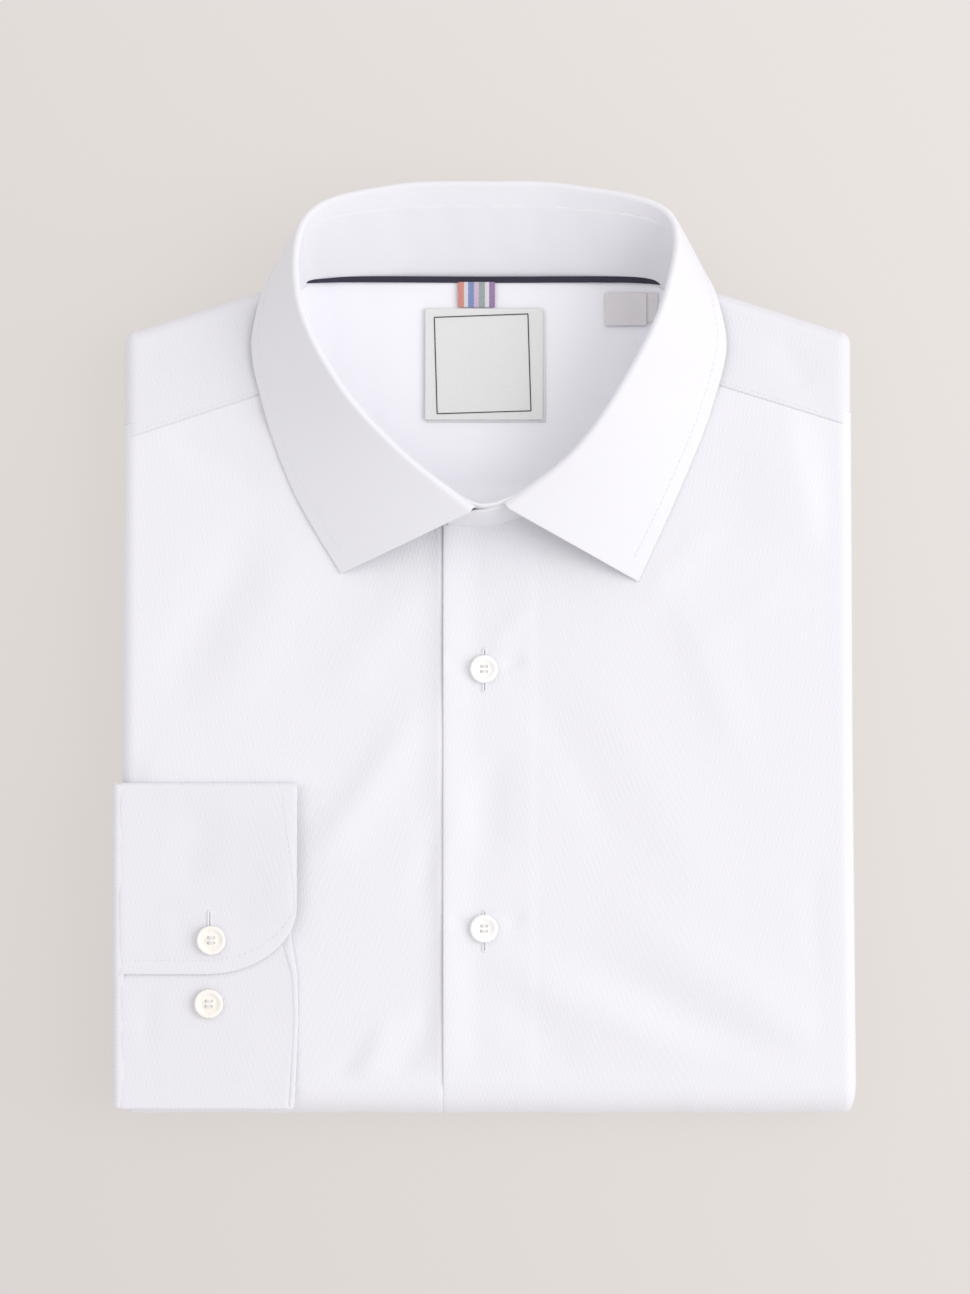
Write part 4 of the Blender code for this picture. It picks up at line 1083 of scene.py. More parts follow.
def core_points():
    """Back, tails and hidden layers: the folded body drawn in by the fronts' thickness.

    A ring across; at its side folds the radius swells and shrinks with the stacked layers.
    """
    face = np.linspace(-1.0, 1.0, 60)
    fold = np.linspace(0.0, np.pi, 21)[1:-1]
    flat, edge = np.zeros(len(face)), np.ones(len(fold))
    angle = np.concatenate([flat, fold, flat + np.pi, fold[::-1]])
    side = np.concatenate([flat, edge, flat, -edge])
    place = np.concatenate([face, edge, face[::-1], -edge])
    opposite = (2 * len(face) + len(fold) - 1 - np.arange(len(angle))) % len(angle)
    layers = 1.0 - LAYER_DENT * (1.0 + np.cos(LAYERS * angle)) * np.abs(side)
    in_neck = (side == 0.0) & (np.abs(place) * FACE_HALF < NECK_SIDE_X)

    def section(q, y, squeeze):
        """x and depth of the ring at this place of the path, squeezed to its middle."""
        thick = thickness_at(q)
        inset = np.where(q > 4.0, 0.0, CLEAR)
        radius = (thick / 2 - inset) * squeeze
        depth = thick / 2 - radius * np.cos(angle)
        outer = (side == 0.0) & (angle == 0.0)
        depth = depth + np.where(outer & (q <= 1.0), CORE_DROP * squeeze, 0.0)
        left = edge_at(-1, q, y) + thick / 2
        right = edge_at(1, q, y) - thick / 2
        root = np.where(place < 0.0, -left * place, right * place)
        x = root + side * radius * np.sin(angle) * layers
        return x, depth

    q = body_places(np.linspace(0.0, 1.0, 60), 16, 29, 10, 19)
    start = along(FRONT_EDGE, place * FACE_HALF, 1) - 5.0
    start = np.where(in_neck, np.minimum(start, CORE_NECK_Y), start)
    y = path_y(q, start)
    x, depth = section(q, y, 1.0)
    body = laid(q, x, y, depth, plain_lift(x, y))

    def below_lining(points):
        """Points with those of the outer face under the neck kept below the inner yoke."""
        room = inner_yoke_z(points[..., 0], points[..., 1]) - CLEAR
        near_neck = in_neck & (points[..., 1] > 60.0) & (angle == 0.0)
        points[..., 2] = np.where(near_neck, np.minimum(points[..., 2], room), points[..., 2])
        return points

    turn = np.radians(np.linspace(90.0, 0.0, 9))[:, None]
    squeeze = np.cos(turn)
    zero = np.zeros_like(turn)
    flat_x = section(zero, YOKE_SIDE_Y, 0.0)[0]
    end = np.where(in_neck, CORE_NECK_END_Y, shoulder_y(flat_x) - CLEAR)
    y = end - (BODY_THICK / 2 - CLEAR) * (1.0 - np.sin(turn))
    x = section(zero, YOKE_SIDE_Y, squeeze)[0]
    depth = section(zero, YOKE_SIDE_Y, 1.0)[1]
    shoulders = below_lining(laid(zero, x, y, depth, plain_lift(x, y)))
    middle = 0.5 * (shoulders[..., 2] + shoulders[:, opposite, 2])
    shoulders[..., 2] = middle + (shoulders[..., 2] - middle) * squeeze

    turn = np.radians(np.linspace(0.0, 90.0, 7))[1:, None]
    q = np.full_like(turn, 5.0)
    x, depth = section(q, TAIL_END_Y, np.cos(turn))
    tail = laid(q, x, TAIL_END_Y - 2.0 * np.sin(turn), depth, 0.0)
    return np.concatenate([shoulders, below_lining(body), tail])


# Materials


def new_material(name, colour, roughness, **sockets):
    """A Principled material with these plain values; returns its tree and its shader."""
    material = bpy.data.materials.new(name)
    material.use_nodes = True
    material.diffuse_color = (*colour, 1.0)
    tree = material.node_tree
    shader = tree.nodes["Principled BSDF"]
    shader.inputs["Base Color"].default_value = (*colour, 1.0)
    shader.inputs["Roughness"].default_value = roughness
    for socket, value in sockets.items():
        shader.inputs[socket.replace("_", " ")].default_value = value
    return tree, shader


def tinted(colour, share):
    """A colour made darker or lighter by a share, with no part above 1."""
    return tuple(min(1.0, share * part) for part in colour)


def node_of(tree, kind, inputs, **settings):
    """A node with these settings; an input takes a plain value or a link from another node."""
    node = tree.nodes.new("ShaderNode" + kind)
    for name, value in settings.items():
        setattr(node, name, value)
    for name, value in inputs.items():
        if isinstance(value, bpy.types.NodeSocket):
            tree.links.new(value, node.inputs[name])
        else:
            node.inputs[name].default_value = value
    return node.outputs


def maths(tree, operation, *values):
    """A Math node of numbers and sockets."""
    return node_of(tree, "Math", dict(enumerate(values)), operation=operation)[0]


def wave(tree, value, pitch):
    """The cosine of a length, with one period each pitch in metres."""
    return maths(tree, "COSINE", maths(tree, "MULTIPLY", value, 2.0 * np.pi / pitch))


def object_place(tree):
    """Place in the frame, in metres."""
    return node_of(tree, "TexCoord", {})["Object"]


def cloth_place(tree):
    """u and v along the cloth in metres, and the vector that holds them."""
    place = node_of(tree, "UVMap", {}, uv_map=CLOTH_UV)[0]
    parts = node_of(tree, "SeparateXYZ", {0: place})
    return parts[0], parts[1], place


def cloudy(tree, vector, scale, detail=2.0, roughness=0.5, distortion=0.0):
    """Noise from 0 to 1 on a vector in metres."""
    inputs = {"Vector": vector, "Scale": scale, "Detail": detail}
    inputs |= {"Roughness": roughness, "Distortion": distortion}
    return node_of(tree, "TexNoise", inputs)["Fac"]


def blend_of(tree, factor, first, second):
    """A colour between two, by a factor from 0 to 1."""
    mix = tree.nodes.new("ShaderNodeMix")
    mix.data_type = "RGBA"
    tree.links.new(factor, mix.inputs["Factor"])
    for name, colour in (("A", first), ("B", second)):
        socket = [s for s in mix.inputs if s.name == name and s.type == "RGBA"][0]
        if isinstance(colour, tuple):
            socket.default_value = (*colour, 1.0)
        else:
            tree.links.new(colour, socket)
    return [s for s in mix.outputs if s.type == "RGBA"][0]


def finish_look(tree, shader, tone, colours, height, depth):
    """A colour between two by a tone, and a bump of this depth in metres for a height."""
    tree.links.new(blend_of(tree, tone, *colours), shader.inputs["Base Color"])
    bump = node_of(tree, "Bump", {"Strength": 1.0, "Distance": depth, "Height": height})
    tree.links.new(bump[0], shader.inputs["Normal"])


def ranged(tree, value, low, high):
    """0 at low, 1 at high, smooth between."""
    inputs = {"Value": value, "From Min": low, "From Max": high}
    return node_of(tree, "MapRange", inputs, interpolation_type="SMOOTHSTEP")[0]


def dobby_cotton(name, figure=1.0, painted_light_scale=1.0):
    """White cotton: threads over and under, and on outer faces rows of small upright lozenges.

    The lozenges are the product of a cosine across and one along, so every row is offset by half a
    pitch from the next one.
    """
    look = bpy.context.scene.shirt_look
    # The painted light scale makes lit and shaded copies of one cotton: below 1 it paints shade, above
    # 1 it paints light
    colour = tinted(look.cloth_colour, painted_light_scale)
    tree, shader = new_material(name, colour, 0.82, Sheen_Weight=look.sheen, Sheen_Roughness=0.45)
    u, v, place = cloth_place(tree)
    threads = maths(tree, "MULTIPLY", wave(tree, u, THREAD_PITCH), wave(tree, v, THREAD_PITCH))
    yarn = cloudy(tree, place, 900.0, 3.0, 0.6)
    slub = cloudy(tree, place, 90.0, 2.0, 0.5)
    height = maths(tree, "MULTIPLY_ADD", threads, 0.15, maths(tree, "MULTIPLY", yarn, 0.5))
    cloud = maths(tree, "MULTIPLY_ADD", slub, 0.3, maths(tree, "MULTIPLY", yarn, 0.3))
    if figure:
        across, along_cloth = wave(tree, u, look.lozenge_pitch), wave(tree, v, 2.0 * look.lozenge_row)
        lozenge = ranged(tree, maths(tree, "MULTIPLY", across, along_cloth), -0.35, 0.75)
        height = maths(tree, "MULTIPLY_ADD", lozenge, figure, height)
        tone = maths(tree, "MULTIPLY_ADD", lozenge, 0.6 * figure, cloud)
    else:
        tone = maths(tree, "ADD", cloud, 0.2)
    finish_look(tree, shader, tone, (tinted(colour, 0.965), colour), height, look.weave_depth)


def ribbed_tape(name):
    """Dark grosgrain: ribs across the tape with a cloudy tone."""
    colour = tuple(bpy.context.scene.shirt_look.tape_colour)
    tree, shader = new_material(name, colour, 0.7, Sheen_Weight=0.3, Sheen_Roughness=0.4)
    u, _, place = cloth_place(tree)
    rib = wave(tree, u, 0.00055)
    yarn = cloudy(tree, place, 1500.0, 2.0)
    tone = maths(tree, "MULTIPLY_ADD", rib, 0.3, yarn)
    height = maths(tree, "MULTIPLY_ADD", rib, 0.5, yarn)
    finish_look(tree, shader, tone, (tinted(colour, 0.6), tinted(colour, 1.9)), height, 0.00012)


def striped_ribbon(name):
    """Ribbon with stripes along it, each with its own colour, and fine ribs across."""
    tree, shader = new_material(name, (0.5, 0.4, 0.5), 0.6, Sheen_Weight=0.2)
    u, v, place = cloth_place(tree)
    across = maths(tree, "DIVIDE", u, (LOOP[1] - LOOP[0]) * MM)
    ramp = tree.nodes.new("ShaderNodeValToRGB")
    tree.links.new(across, ramp.inputs[0])
    ramp.color_ramp.interpolation = "CONSTANT"
    elements = ramp.color_ramp.elements
    elements.remove(elements[-1])
    for index, (start, colour) in enumerate(STRIPES):
        element = elements[0] if index == 0 else elements.new(start)
        element.position = start
        element.color = (*colour, 1.0)
    yarn = cloudy(tree, place, 1600.0, 2.0)
    faded = maths(tree, "MULTIPLY", yarn, 0.35)
    height = maths(tree, "MULTIPLY_ADD", wave(tree, v, 0.0005), 0.4, yarn)
    finish_look(tree, shader, faded, (ramp.outputs[0], (0.75, 0.73, 0.76)), height, 0.00010)


def woven_satin(name, colour, roughness=0.42):
    """Pale satin: fine slanting floats and a cloudy tone."""
    tree, shader = new_material(name, colour, roughness, Sheen_Weight=0.35, Sheen_Roughness=0.3)
    u, v, place = cloth_place(tree)
    floats = wave(tree, maths(tree, "MULTIPLY_ADD", v, 0.45, u), 0.00045)
    yarn = cloudy(tree, place, 1100.0, 3.0)
    tone = maths(tree, "MULTIPLY_ADD", floats, 0.18, yarn)
    height = maths(tree, "MULTIPLY_ADD", floats, 0.4, yarn)
    finish_look(tree, shader, tone, (tinted(colour, 0.90), colour), height, 0.00007)


def turned_shell(name, colour, shade, clouds):
    """Glossy button stuff: pale clouds under a clear gloss."""
    tree, shader = new_material(name, colour, 0.24, Coat_Weight=0.6, Coat_Roughness=0.08, IOR=1.52)
    place = object_place(tree)
    tone = ranged(tree, cloudy(tree, place, clouds, 3.0, 0.55, 1.6), 0.35, 0.7)
    finish_look(tree, shader, tone, (shade, colour), cloudy(tree, place, 700.0, 2.0), 0.00003)


def sewing_thread(name, colour=None):
    """Cotton thread: a fine fuzz in tone and relief."""
    colour = colour or tuple(bpy.context.scene.shirt_look.thread_colour)
    tree, shader = new_material(name, colour, 0.75, Sheen_Weight=0.4)
    fuzz = cloudy(tree, object_place(tree), 2600.0, 3.0, 0.6)
    finish_look(tree, shader, fuzz, (tinted(colour, 0.86), colour), fuzz, 0.00008)


MATERIALS = {
    # name: the function that makes it, and what that is given after the name
    "dobby cotton": (dobby_cotton,),
    "collar cotton": (dobby_cotton, 0.3),
    # The yoke and the cuff have the same cotton, painted 3.5 per cent darker: painted shade
    "crosswise cotton": (dobby_cotton, 1.0, 0.965),
    # The stand's cotton has no figure, and is painted 2 per cent darker: painted shade inside the neck
    "plain cotton": (dobby_cotton, 0.0, 0.98),
    # The lining inside the neck lies in shade and is painted 8 per cent lighter: painted light
    "lining cotton": (dobby_cotton, 0.0, 1.08),
    "ribbed tape": (ribbed_tape,),
    "striped loop": (striped_ribbon,),
    "label satin": (woven_satin, (0.77, 0.77, 0.765)),
    "care satin": (woven_satin, (0.73, 0.71, 0.725), 0.5),
    "white shell": (turned_shell, (0.97, 0.97, 0.95), (0.91, 0.91, 0.88), 260.0),
    "ivory shell": (turned_shell, (0.92, 0.90, 0.85), (0.86, 0.82, 0.75), 330.0),
    "white thread": (sewing_thread,),
    "dark thread": (sewing_thread, (0.012, 0.012, 0.016)),
    # Grey of the buttonhole slits: painted shadow
    "slit": (sewing_thread, (0.42, 0.41, 0.45)),
}


def material_of(name):
    """A material of this shirt, made the first time it is asked for."""
    if name not in bpy.data.materials:
        make, *given = MATERIALS[name]
        make(name, *given)
    return bpy.data.materials[name]


# Fitting pieces to the frame


def dress(obj, material, node=None):
    """Give a piece its material and its body, and hide the part that it stands for."""
    obj.data.materials.append(material_of(material))
    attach(obj, "root")
    if node:
        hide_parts(node)


def cloth_piece(obj, material, slot, node, *rests_on, held="folded"):
    """Dress a piece with its material, its body and its node. What it rests on is not used."""
    dress(obj, material, node)


# Sewing


def capsule(length, radius, sides=6, rings=5):
    """Vertices and quads of a stitch: a rod along x whose radius falls away at both ends."""
    t = np.linspace(-1.0, 1.0, rings)
    turn = np.arange(sides) * 2.0 * np.pi / sides
    size = radius * np.sqrt(np.clip(1.0 - np.abs(t) ** 4, 0.02, 1.0))
    x = np.broadcast_to((t * length / 2)[:, None], (rings, sides))
    y = size[:, None] * np.cos(turn)
    z = size[:, None] * np.sin(turn)
    vertices = np.stack([x, y, z], axis=-1).reshape(-1, 3)
    quads = quads_of(rings, sides, True)[:, [0, 3, 2, 1]]
    first = np.array([[0, 1, 2, 3], [0, 3, 4, 5]])
    last = (rings - 1) * sides + np.array([[3, 2, 1, 0], [5, 4, 3, 0]])
    return vertices, np.concatenate([quads, first, last])


def read_at(places, way, values):
    """Straight-line reading of each column of values, given along way, at the places."""
    return np.stack([np.interp(places, way, column) for column in values.T], axis=-1)


def spaced_along(line, normal, pitch):
    """Places each pitch along a line, with the direction of the line and the normal there."""
    way = arc(line[None], 1)[0]
    count = max(2, int(way[-1] / pitch))
    at = (np.arange(count) + 0.5) * way[-1] / count
    ahead = unit(read_at(at, way, np.gradient(line, way, axis=0)))
    across = unit(np.cross(unit(read_at(at, way, normal)), ahead))
    return read_at(at, way, line), np.stack([ahead, across, np.cross(ahead, across)], axis=1)


def stitch_rows(name, lines, pitch, stitch=STITCH, material="white thread"):
    """Stitches along several lines, each line given with its normals."""
    vertices, faces = capsule(*stitch)
    sets = [spaced_along(line, normal, pitch) for line, normal in lines]
    places, axes = (np.concatenate(part) for part in zip(*sets))
    dress(repeated(name, vertices, faces, places, axes), material)


def outer_face(points, half, reach):
    """The face of a thick piece that looks up, with its normals."""
    first, second = both_sides(points, half, reach)
    up = facing_of(points)
    if up[30, 30, 2] > 0.0:
        return first, up
    return second, -up


def line_at(points, normals, ways, lift=0.06):
    """A line across the rows of a grid, at one length along each row, a little above it."""
    way = arc(points, 1)
    line = np.array([read_at(*row) for row in zip(ways, way, points)])
    up = np.array([read_at(*row) for row in zip(ways, way, normals)])
    return line + up * lift, up


def button_points(radius, profile):
    """A turned button: a profile round an axis, with four holes sunk as smooth pits.

    Rows go out from the middle of the top, over the rim and back in underneath; a pit takes its
    depth from the height where the distance from a hole's centre is small.
    """
    share, up = np.array(profile).T
    way = np.concatenate([[0.0], np.cumsum(np.hypot(np.diff(share * radius), np.diff(up)))])
    fine = np.linspace(0.0, way[-1], BUTTON_ROWS)
    r = np.interp(fine, way, share * radius)
    z = np.interp(fine, way, up)
    kernel = np.array([1.0, 2.0, 3.0, 2.0, 1.0]) / 9.0
    z = np.concatenate([z[:2], np.convolve(z, kernel, "valid"), z[-2:]])
    turn = np.linspace(0.0, 2.0 * np.pi, 97)[:-1]
    x = r[:, None] * np.cos(turn)
    y = r[:, None] * np.sin(turn)
    z = np.broadcast_to(z[:, None], x.shape).copy()
    upper = (np.arange(BUTTON_ROWS) < BUTTON_UPPER_ROWS)[:, None]
    for side_x in (-BUTTON_HOLE, BUTTON_HOLE):
        for side_y in (-BUTTON_HOLE, BUTTON_HOLE):
            near = np.hypot(x - side_x, y - side_y)
            z -= BUTTON_HOLE_DEPTH * (1.0 - smooth(0.34, 0.62, near)) * upper
    return np.stack([x, y, z], axis=-1)


def make_button(number, kind, radius, x, y, z):
    """A button of its own, and the thread that holds it."""
    profile, material, slot, slope = BUTTON_KINDS[kind]
    points = button_points(radius, profile)
    points[..., 2] += points[..., 0] * slope[0] + points[..., 1] * slope[1]
    name = f"{kind}_button_{number}"
    button = make_mesh(name, points + (x, y, z), None, (20, 0, UP), ring=True, weld=True)
    dress(button, material, f"button_{kind}_{number}")

    vertices, faces = capsule(*BUTTON_STITCH)
    shifts = (-0.30, 0.0, 0.30)
    places = [(0.0, side + shift, 0.0) for side in (-BUTTON_HOLE, BUTTON_HOLE) for shift in shifts]
    places = np.array(places) + (x, y, z + profile[0][1] + 0.12)
    axes = np.broadcast_to(np.eye(3), (len(places), 3, 3))
    dress(repeated(f"{name}_thread", vertices, faces, places, axes), "white thread")


def buttonhole(name, x, low, high, height):
    """A buttonhole along y: a ring of satin stitches round a slit of painted shadow.

    The welt's path is a straight line and a half circle, twice; its small round section swells and
    shrinks with each stitch.
    """
    half = BUTTONHOLE_HALF
    straight = high - low - 2.0 * half
    joints = np.cumsum([0.0, straight, np.pi * half, straight, np.pi * half])
    way = np.linspace(0.0, joints[-1], 420, endpoint=False)[:, None]
    middle_y = (low + high) / 2 + straight * np.interp(way, joints, (-0.5, 0.5, 0.5, -0.5, -0.5))
    angle = np.pi * np.interp(way, joints, (0.0, 0.0, 1.0, 1.0, 2.0))
    turn = np.linspace(0.0, 2.0 * np.pi, 9)[:-1]
    size = 1.0 + 0.22 * np.cos(way * 2.0 * np.pi / BUTTONHOLE_STITCH)
    reach = half + BUTTONHOLE_WELT[0] * size * np.cos(turn)
    welt_x = x + reach * np.cos(angle)
    welt_y = middle_y + reach * np.sin(angle)
    welt_z = height(welt_x, welt_y) + 0.10 + BUTTONHOLE_WELT[1] * size * np.sin(turn)
    points = np.stack([welt_x, welt_y, welt_z], axis=-1)
    points = np.concatenate([points, points[:1]])
    welt = make_mesh(name, points, None, (10, 2, UP), ring=True, weld=True)
    dress(welt, "white thread")

    # The slit is a thin grey sheet just above the cloth: painted shadow of the cut
    slit_x, slit_y = np.meshgrid(
        x + np.linspace(-0.18, 0.18, 4), np.linspace(low + 0.6, high - 0.6, 20)
    )
    points = np.stack([slit_x, slit_y, height(slit_x, slit_y) + 0.06], axis=-1)
    slit = make_mesh(f"{name}_slit", points, flat_uv(points), (3, 1, UP))
    give_wall(slit, 0.1)
    dress(slit, "slit")


# Settings


class ShirtLook(bpy.types.PropertyGroup):
    """Colours and weave of the shirt."""

    cloth_colour: bpy.props.FloatVectorProperty(
        name="Cloth colour", description="Colour of the white cotton", subtype="COLOR", size=3,
        min=0.0, max=1.0, default=(0.79, 0.79, 0.83),
    )
    thread_colour: bpy.props.FloatVectorProperty(
        name="Thread colour", description="Colour of the sewing thread", subtype="COLOR", size=3,
        min=0.0, max=1.0, default=(0.86, 0.86, 0.90),
    )
    tape_colour: bpy.props.FloatVectorProperty(
        name="Tape colour", description="Colour of the neck tape", subtype="COLOR", size=3,
        min=0.0, max=1.0, default=(0.018, 0.016, 0.034),
    )
    sheen: bpy.props.FloatProperty(
        name="Sheen", description="Soft shine of the cotton", subtype="FACTOR",
        min=0.0, max=1.0, default=0.25,
    )
    lozenge_pitch: bpy.props.FloatProperty(
        name="Lozenge pitch", description="Distance between lozenges in a row",
        subtype="DISTANCE", unit="LENGTH", default=0.00163,
    )
    lozenge_row: bpy.props.FloatProperty(
        name="Lozenge rows", description="Distance between rows of lozenges",
        subtype="DISTANCE", unit="LENGTH", default=0.00271,
    )
    weave_depth: bpy.props.FloatProperty(
        name="Weave depth", description="Depth of the woven figure",
        subtype="DISTANCE", unit="LENGTH", default=0.00003,
    )


class ShirtSizes(bpy.types.PropertyGroup):
    """Sizes of the cloth and the buttons."""

    cloth_thickness: bpy.props.FloatProperty(
        name="Cloth thickness", description="Thickness of one layer of cotton",
        subtype="DISTANCE", unit="LENGTH", default=0.0005,
    )
    button_radius: bpy.props.FloatProperty(
        name="Front button radius", description="Radius of the two front buttons",
        subtype="DISTANCE", unit="LENGTH",
        default=round((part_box("button_front_1")[1][0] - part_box("button_front_1")[0][0]) / 2, 5),
    )
    cuff_button_radius: bpy.props.FloatProperty(
        name="Cuff button radius", description="Radius of the two cuff buttons",
        subtype="DISTANCE", unit="LENGTH",
        default=round((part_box("button_cuff_1")[1][0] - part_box("button_cuff_1")[0][0]) / 2, 5),
    )
    stitch_pitch: bpy.props.FloatProperty(
        name="Stitch pitch", description="Distance from one stitch to the next",
        subtype="DISTANCE", unit="LENGTH", default=0.0024,
    )


class ShirtStage(bpy.types.PropertyGroup):
    """Floor, lights and camera."""

    floor_colour: bpy.props.FloatVectorProperty(
        name="Floor colour", description="Colour of the floor", subtype="COLOR", size=3,
        min=0.0, max=1.0, default=(0.737, 0.695, 0.670),
    )
    floor_glow: bpy.props.FloatProperty(
        name="Floor glow", description="Share of the floor's brightness that is its own light",
        subtype="FACTOR", min=0.0, max=1.0, default=0.82,
    )
    key_power: bpy.props.FloatProperty(
        name="Key light", description="Power of the large light at the right",
        subtype="POWER", unit="POWER", default=27.0,
    )
    sky: bpy.props.FloatProperty(
        name="Surrounding light", description="Strength of the even light from all sides",
        default=0.88,
    )
    camera_height: bpy.props.FloatProperty(
        name="Camera height", description="Height of the camera above the floor",
        subtype="DISTANCE", unit="LENGTH", default=1.5,
    )
    lens: bpy.props.FloatProperty(
        name="Lens", description="Focal length of the camera in millimetres", default=110.05,
    )


# Steps


class SHIRT_OT_stage(bpy.types.Operator):
    """Make the floor, the lights and the camera"""

    bl_idname = "shirt.stage"
    bl_label = "Stage"

    def execute(self, context):
        stage = context.scene.shirt_stage
        side = np.linspace(-FLOOR_HALF, FLOOR_HALF, 13)
        x, y = np.meshgrid(side, side)
        points = np.stack([x, y, np.full_like(x, FLOOR_Z)], axis=-1)
        floor = make_mesh("floor", points, flat_uv(points), (0, 0, UP))
        own = stage.floor_glow
        tree, shader = new_material("floor", stage.floor_colour, 0.9, Emission_Strength=own)
        # Painted light: the floor's colour and glow grow lighter towards the upper right and darker
        # towards the lower left, wavering a little
        place = object_place(tree)
        parts = node_of(tree, "SeparateXYZ", {0: place})
        way = maths(tree, "MULTIPLY_ADD", parts[1], 0.56, parts[0])
        way = maths(tree, "MULTIPLY_ADD", cloudy(tree, place, 1.3, 2.0), 0.1, way)
        painted_light_fall_off = ranged(tree, way, -0.55, 0.65)
        for socket, part in (("Base Color", 1.0 - own), ("Emission Color", 1.0)):
            dark, light = (tinted(stage.floor_colour, part * tint) for tint in (0.9, 1.1))
            tree.links.new(blend_of(tree, painted_light_fall_off, dark, light), shader.inputs[socket])
        floor.data.materials.append(bpy.data.materials["floor"])

        world = bpy.data.worlds.new("soft surroundings")
        world.use_nodes = True
        tree = world.node_tree
        background = tree.nodes["Background"]
        background.inputs[0].default_value = (1.0, 0.98, 0.985, 1.0)
        parts = node_of(tree, "SeparateXYZ", {0: node_of(tree, "TexCoord", {})["Generated"]})
        east = maths(tree, "MULTIPLY_ADD", parts[0], stage.sky * 0.16, stage.sky)
        strength = maths(tree, "MULTIPLY_ADD", parts[1], stage.sky * -0.05, east)
        tree.links.new(strength, background.inputs[1])
        context.scene.world = world
        context.scene.view_settings.view_transform = "Standard"

        for name, spot, share, size in LIGHTS:
            data = bpy.data.lights.new(name, "AREA")
            data.energy = stage.key_power * share
            data.size = size
            lamp = bpy.data.objects.new(name, data)
            lamp.location = spot
            lamp.rotation_euler = (-Vector(spot)).to_track_quat("-Z", "Y").to_euler()
            context.scene.collection.objects.link(lamp)

        data = bpy.data.cameras.new("camera")
        data.lens = stage.lens
        data.sensor_width = 36.0
        data.dof.use_dof = False
        camera = bpy.data.objects.new("camera", data)
        camera.location = (0.0, 0.0, stage.camera_height)
        context.scene.collection.objects.link(camera)
        context.scene.camera = camera
        return {"FINISHED"}


class SHIRT_OT_fronts(bpy.types.Operator):
    """Make the two fronts: the left one lies on the right one at the centre"""

    bl_idname = "shirt.fronts"
    bl_label = "Fronts"

    def execute(self, context):
        for side, name in ((1, "front_left"), (-1, "front_right")):
            points = front_points(side)
            look_up = (60, points.shape[1] // 2, UP)
            front = cloth_shell(f"{name}_cloth", points, look_up, flat_uv(points, 0.6 * side))
            cloth_piece(front, "dobby cotton", "white_cotton", name, "folded_back_cloth")
        return {"FINISHED"}


class SHIRT_OT_yoke(bpy.types.Operator):
    """Make the outer and the inner layer of the yoke"""

    bl_idname = "shirt.yoke"
    bl_label = "Yoke"

    def execute(self, context):
        yoke = cloth_shell("yoke_cloth", yoke_points(), (5, 8, UP), weld=True)
        cloth_piece(yoke, "crosswise cotton", "white_cotton", "yoke_outer", "folded_back_cloth")

        points = inner_yoke_points()
        lining = cloth_shell("yoke_lining", points, (30, 50, UP), points[..., 0:2], weld=True)
        cloth_piece(lining, "lining cotton", "plain_cotton", "yoke_inner", "folded_back_cloth")
        return {"FINISHED"}


class SHIRT_OT_back(bpy.types.Operator):
    """Make the back with its tails and the layers folded inside"""

    bl_idname = "shirt.back"
    bl_label = "Back and hidden layers"

    def execute(self, context):
        back = cloth_shell("folded_back_cloth", core_points(), (30, 20, UP), ring=True, weld=True)
        cloth_piece(back, "dobby cotton", "white_cotton", "folded_back")
        return {"FINISHED"}


class SHIRT_OT_sleeves(bpy.types.Operator):
    """Make both folded sleeves"""

    bl_idname = "shirt.sleeves"
    bl_label = "Sleeves"

    def execute(self, context):
        look_down = (2, 3, (0.0, -1.0, 0.0))
        for name, table, count, gathers, drop in SLEEVES:
            points = sleeve_points(table, count, gathers, drop)
            sleeve = cloth_shell(f"{name}_cloth", points, look_down, even=False, ring=True)
            cloth_piece(sleeve, "dobby cotton", "white_cotton", name, "folded_back_cloth")
        return {"FINISHED"}


class SHIRT_OT_cuff(bpy.types.Operator):
    """Make the right cuff with its buttonhole"""

    bl_idname = "shirt.cuff"
    bl_label = "Cuff"

    def execute(self, context):
        cuff = cloth_both("cuff_cloth", cuff_points(), CUFF_HALF, (12, 12, UP), reach=CUFF_EDGE)
        cloth_piece(cuff, "crosswise cotton", "white_cotton", "cuff_right", "front_right_cloth")
        buttonhole("cuff_buttonhole", *CUFF_BUTTONHOLE, cuff_top)
        return {"FINISHED"}


class SHIRT_OT_collar(bpy.types.Operator):
    """Make the collar's stand and leaf"""

    bl_idname = "shirt.collar"
    bl_label = "Collar"

    def execute(self, context):
        points = stand_points()
        look_in = (len(points) // 2, 9, (0.0, -1.0, 1.0))
        stand = cloth_both("collar_stand_cloth", points, STAND_HALF, look_in)
        cloth_piece(stand, "plain cotton", "white_cotton", "collar_stand", "yoke_cloth")

        leaf = cloth_both("collar_leaf_cloth", leaf_points(), LEAF_HALF, (30, 30, UP))
        cloth_piece(leaf, "collar cotton", "white_cotton", "collar_leaf", "collar_stand_cloth")
        return {"FINISHED"}


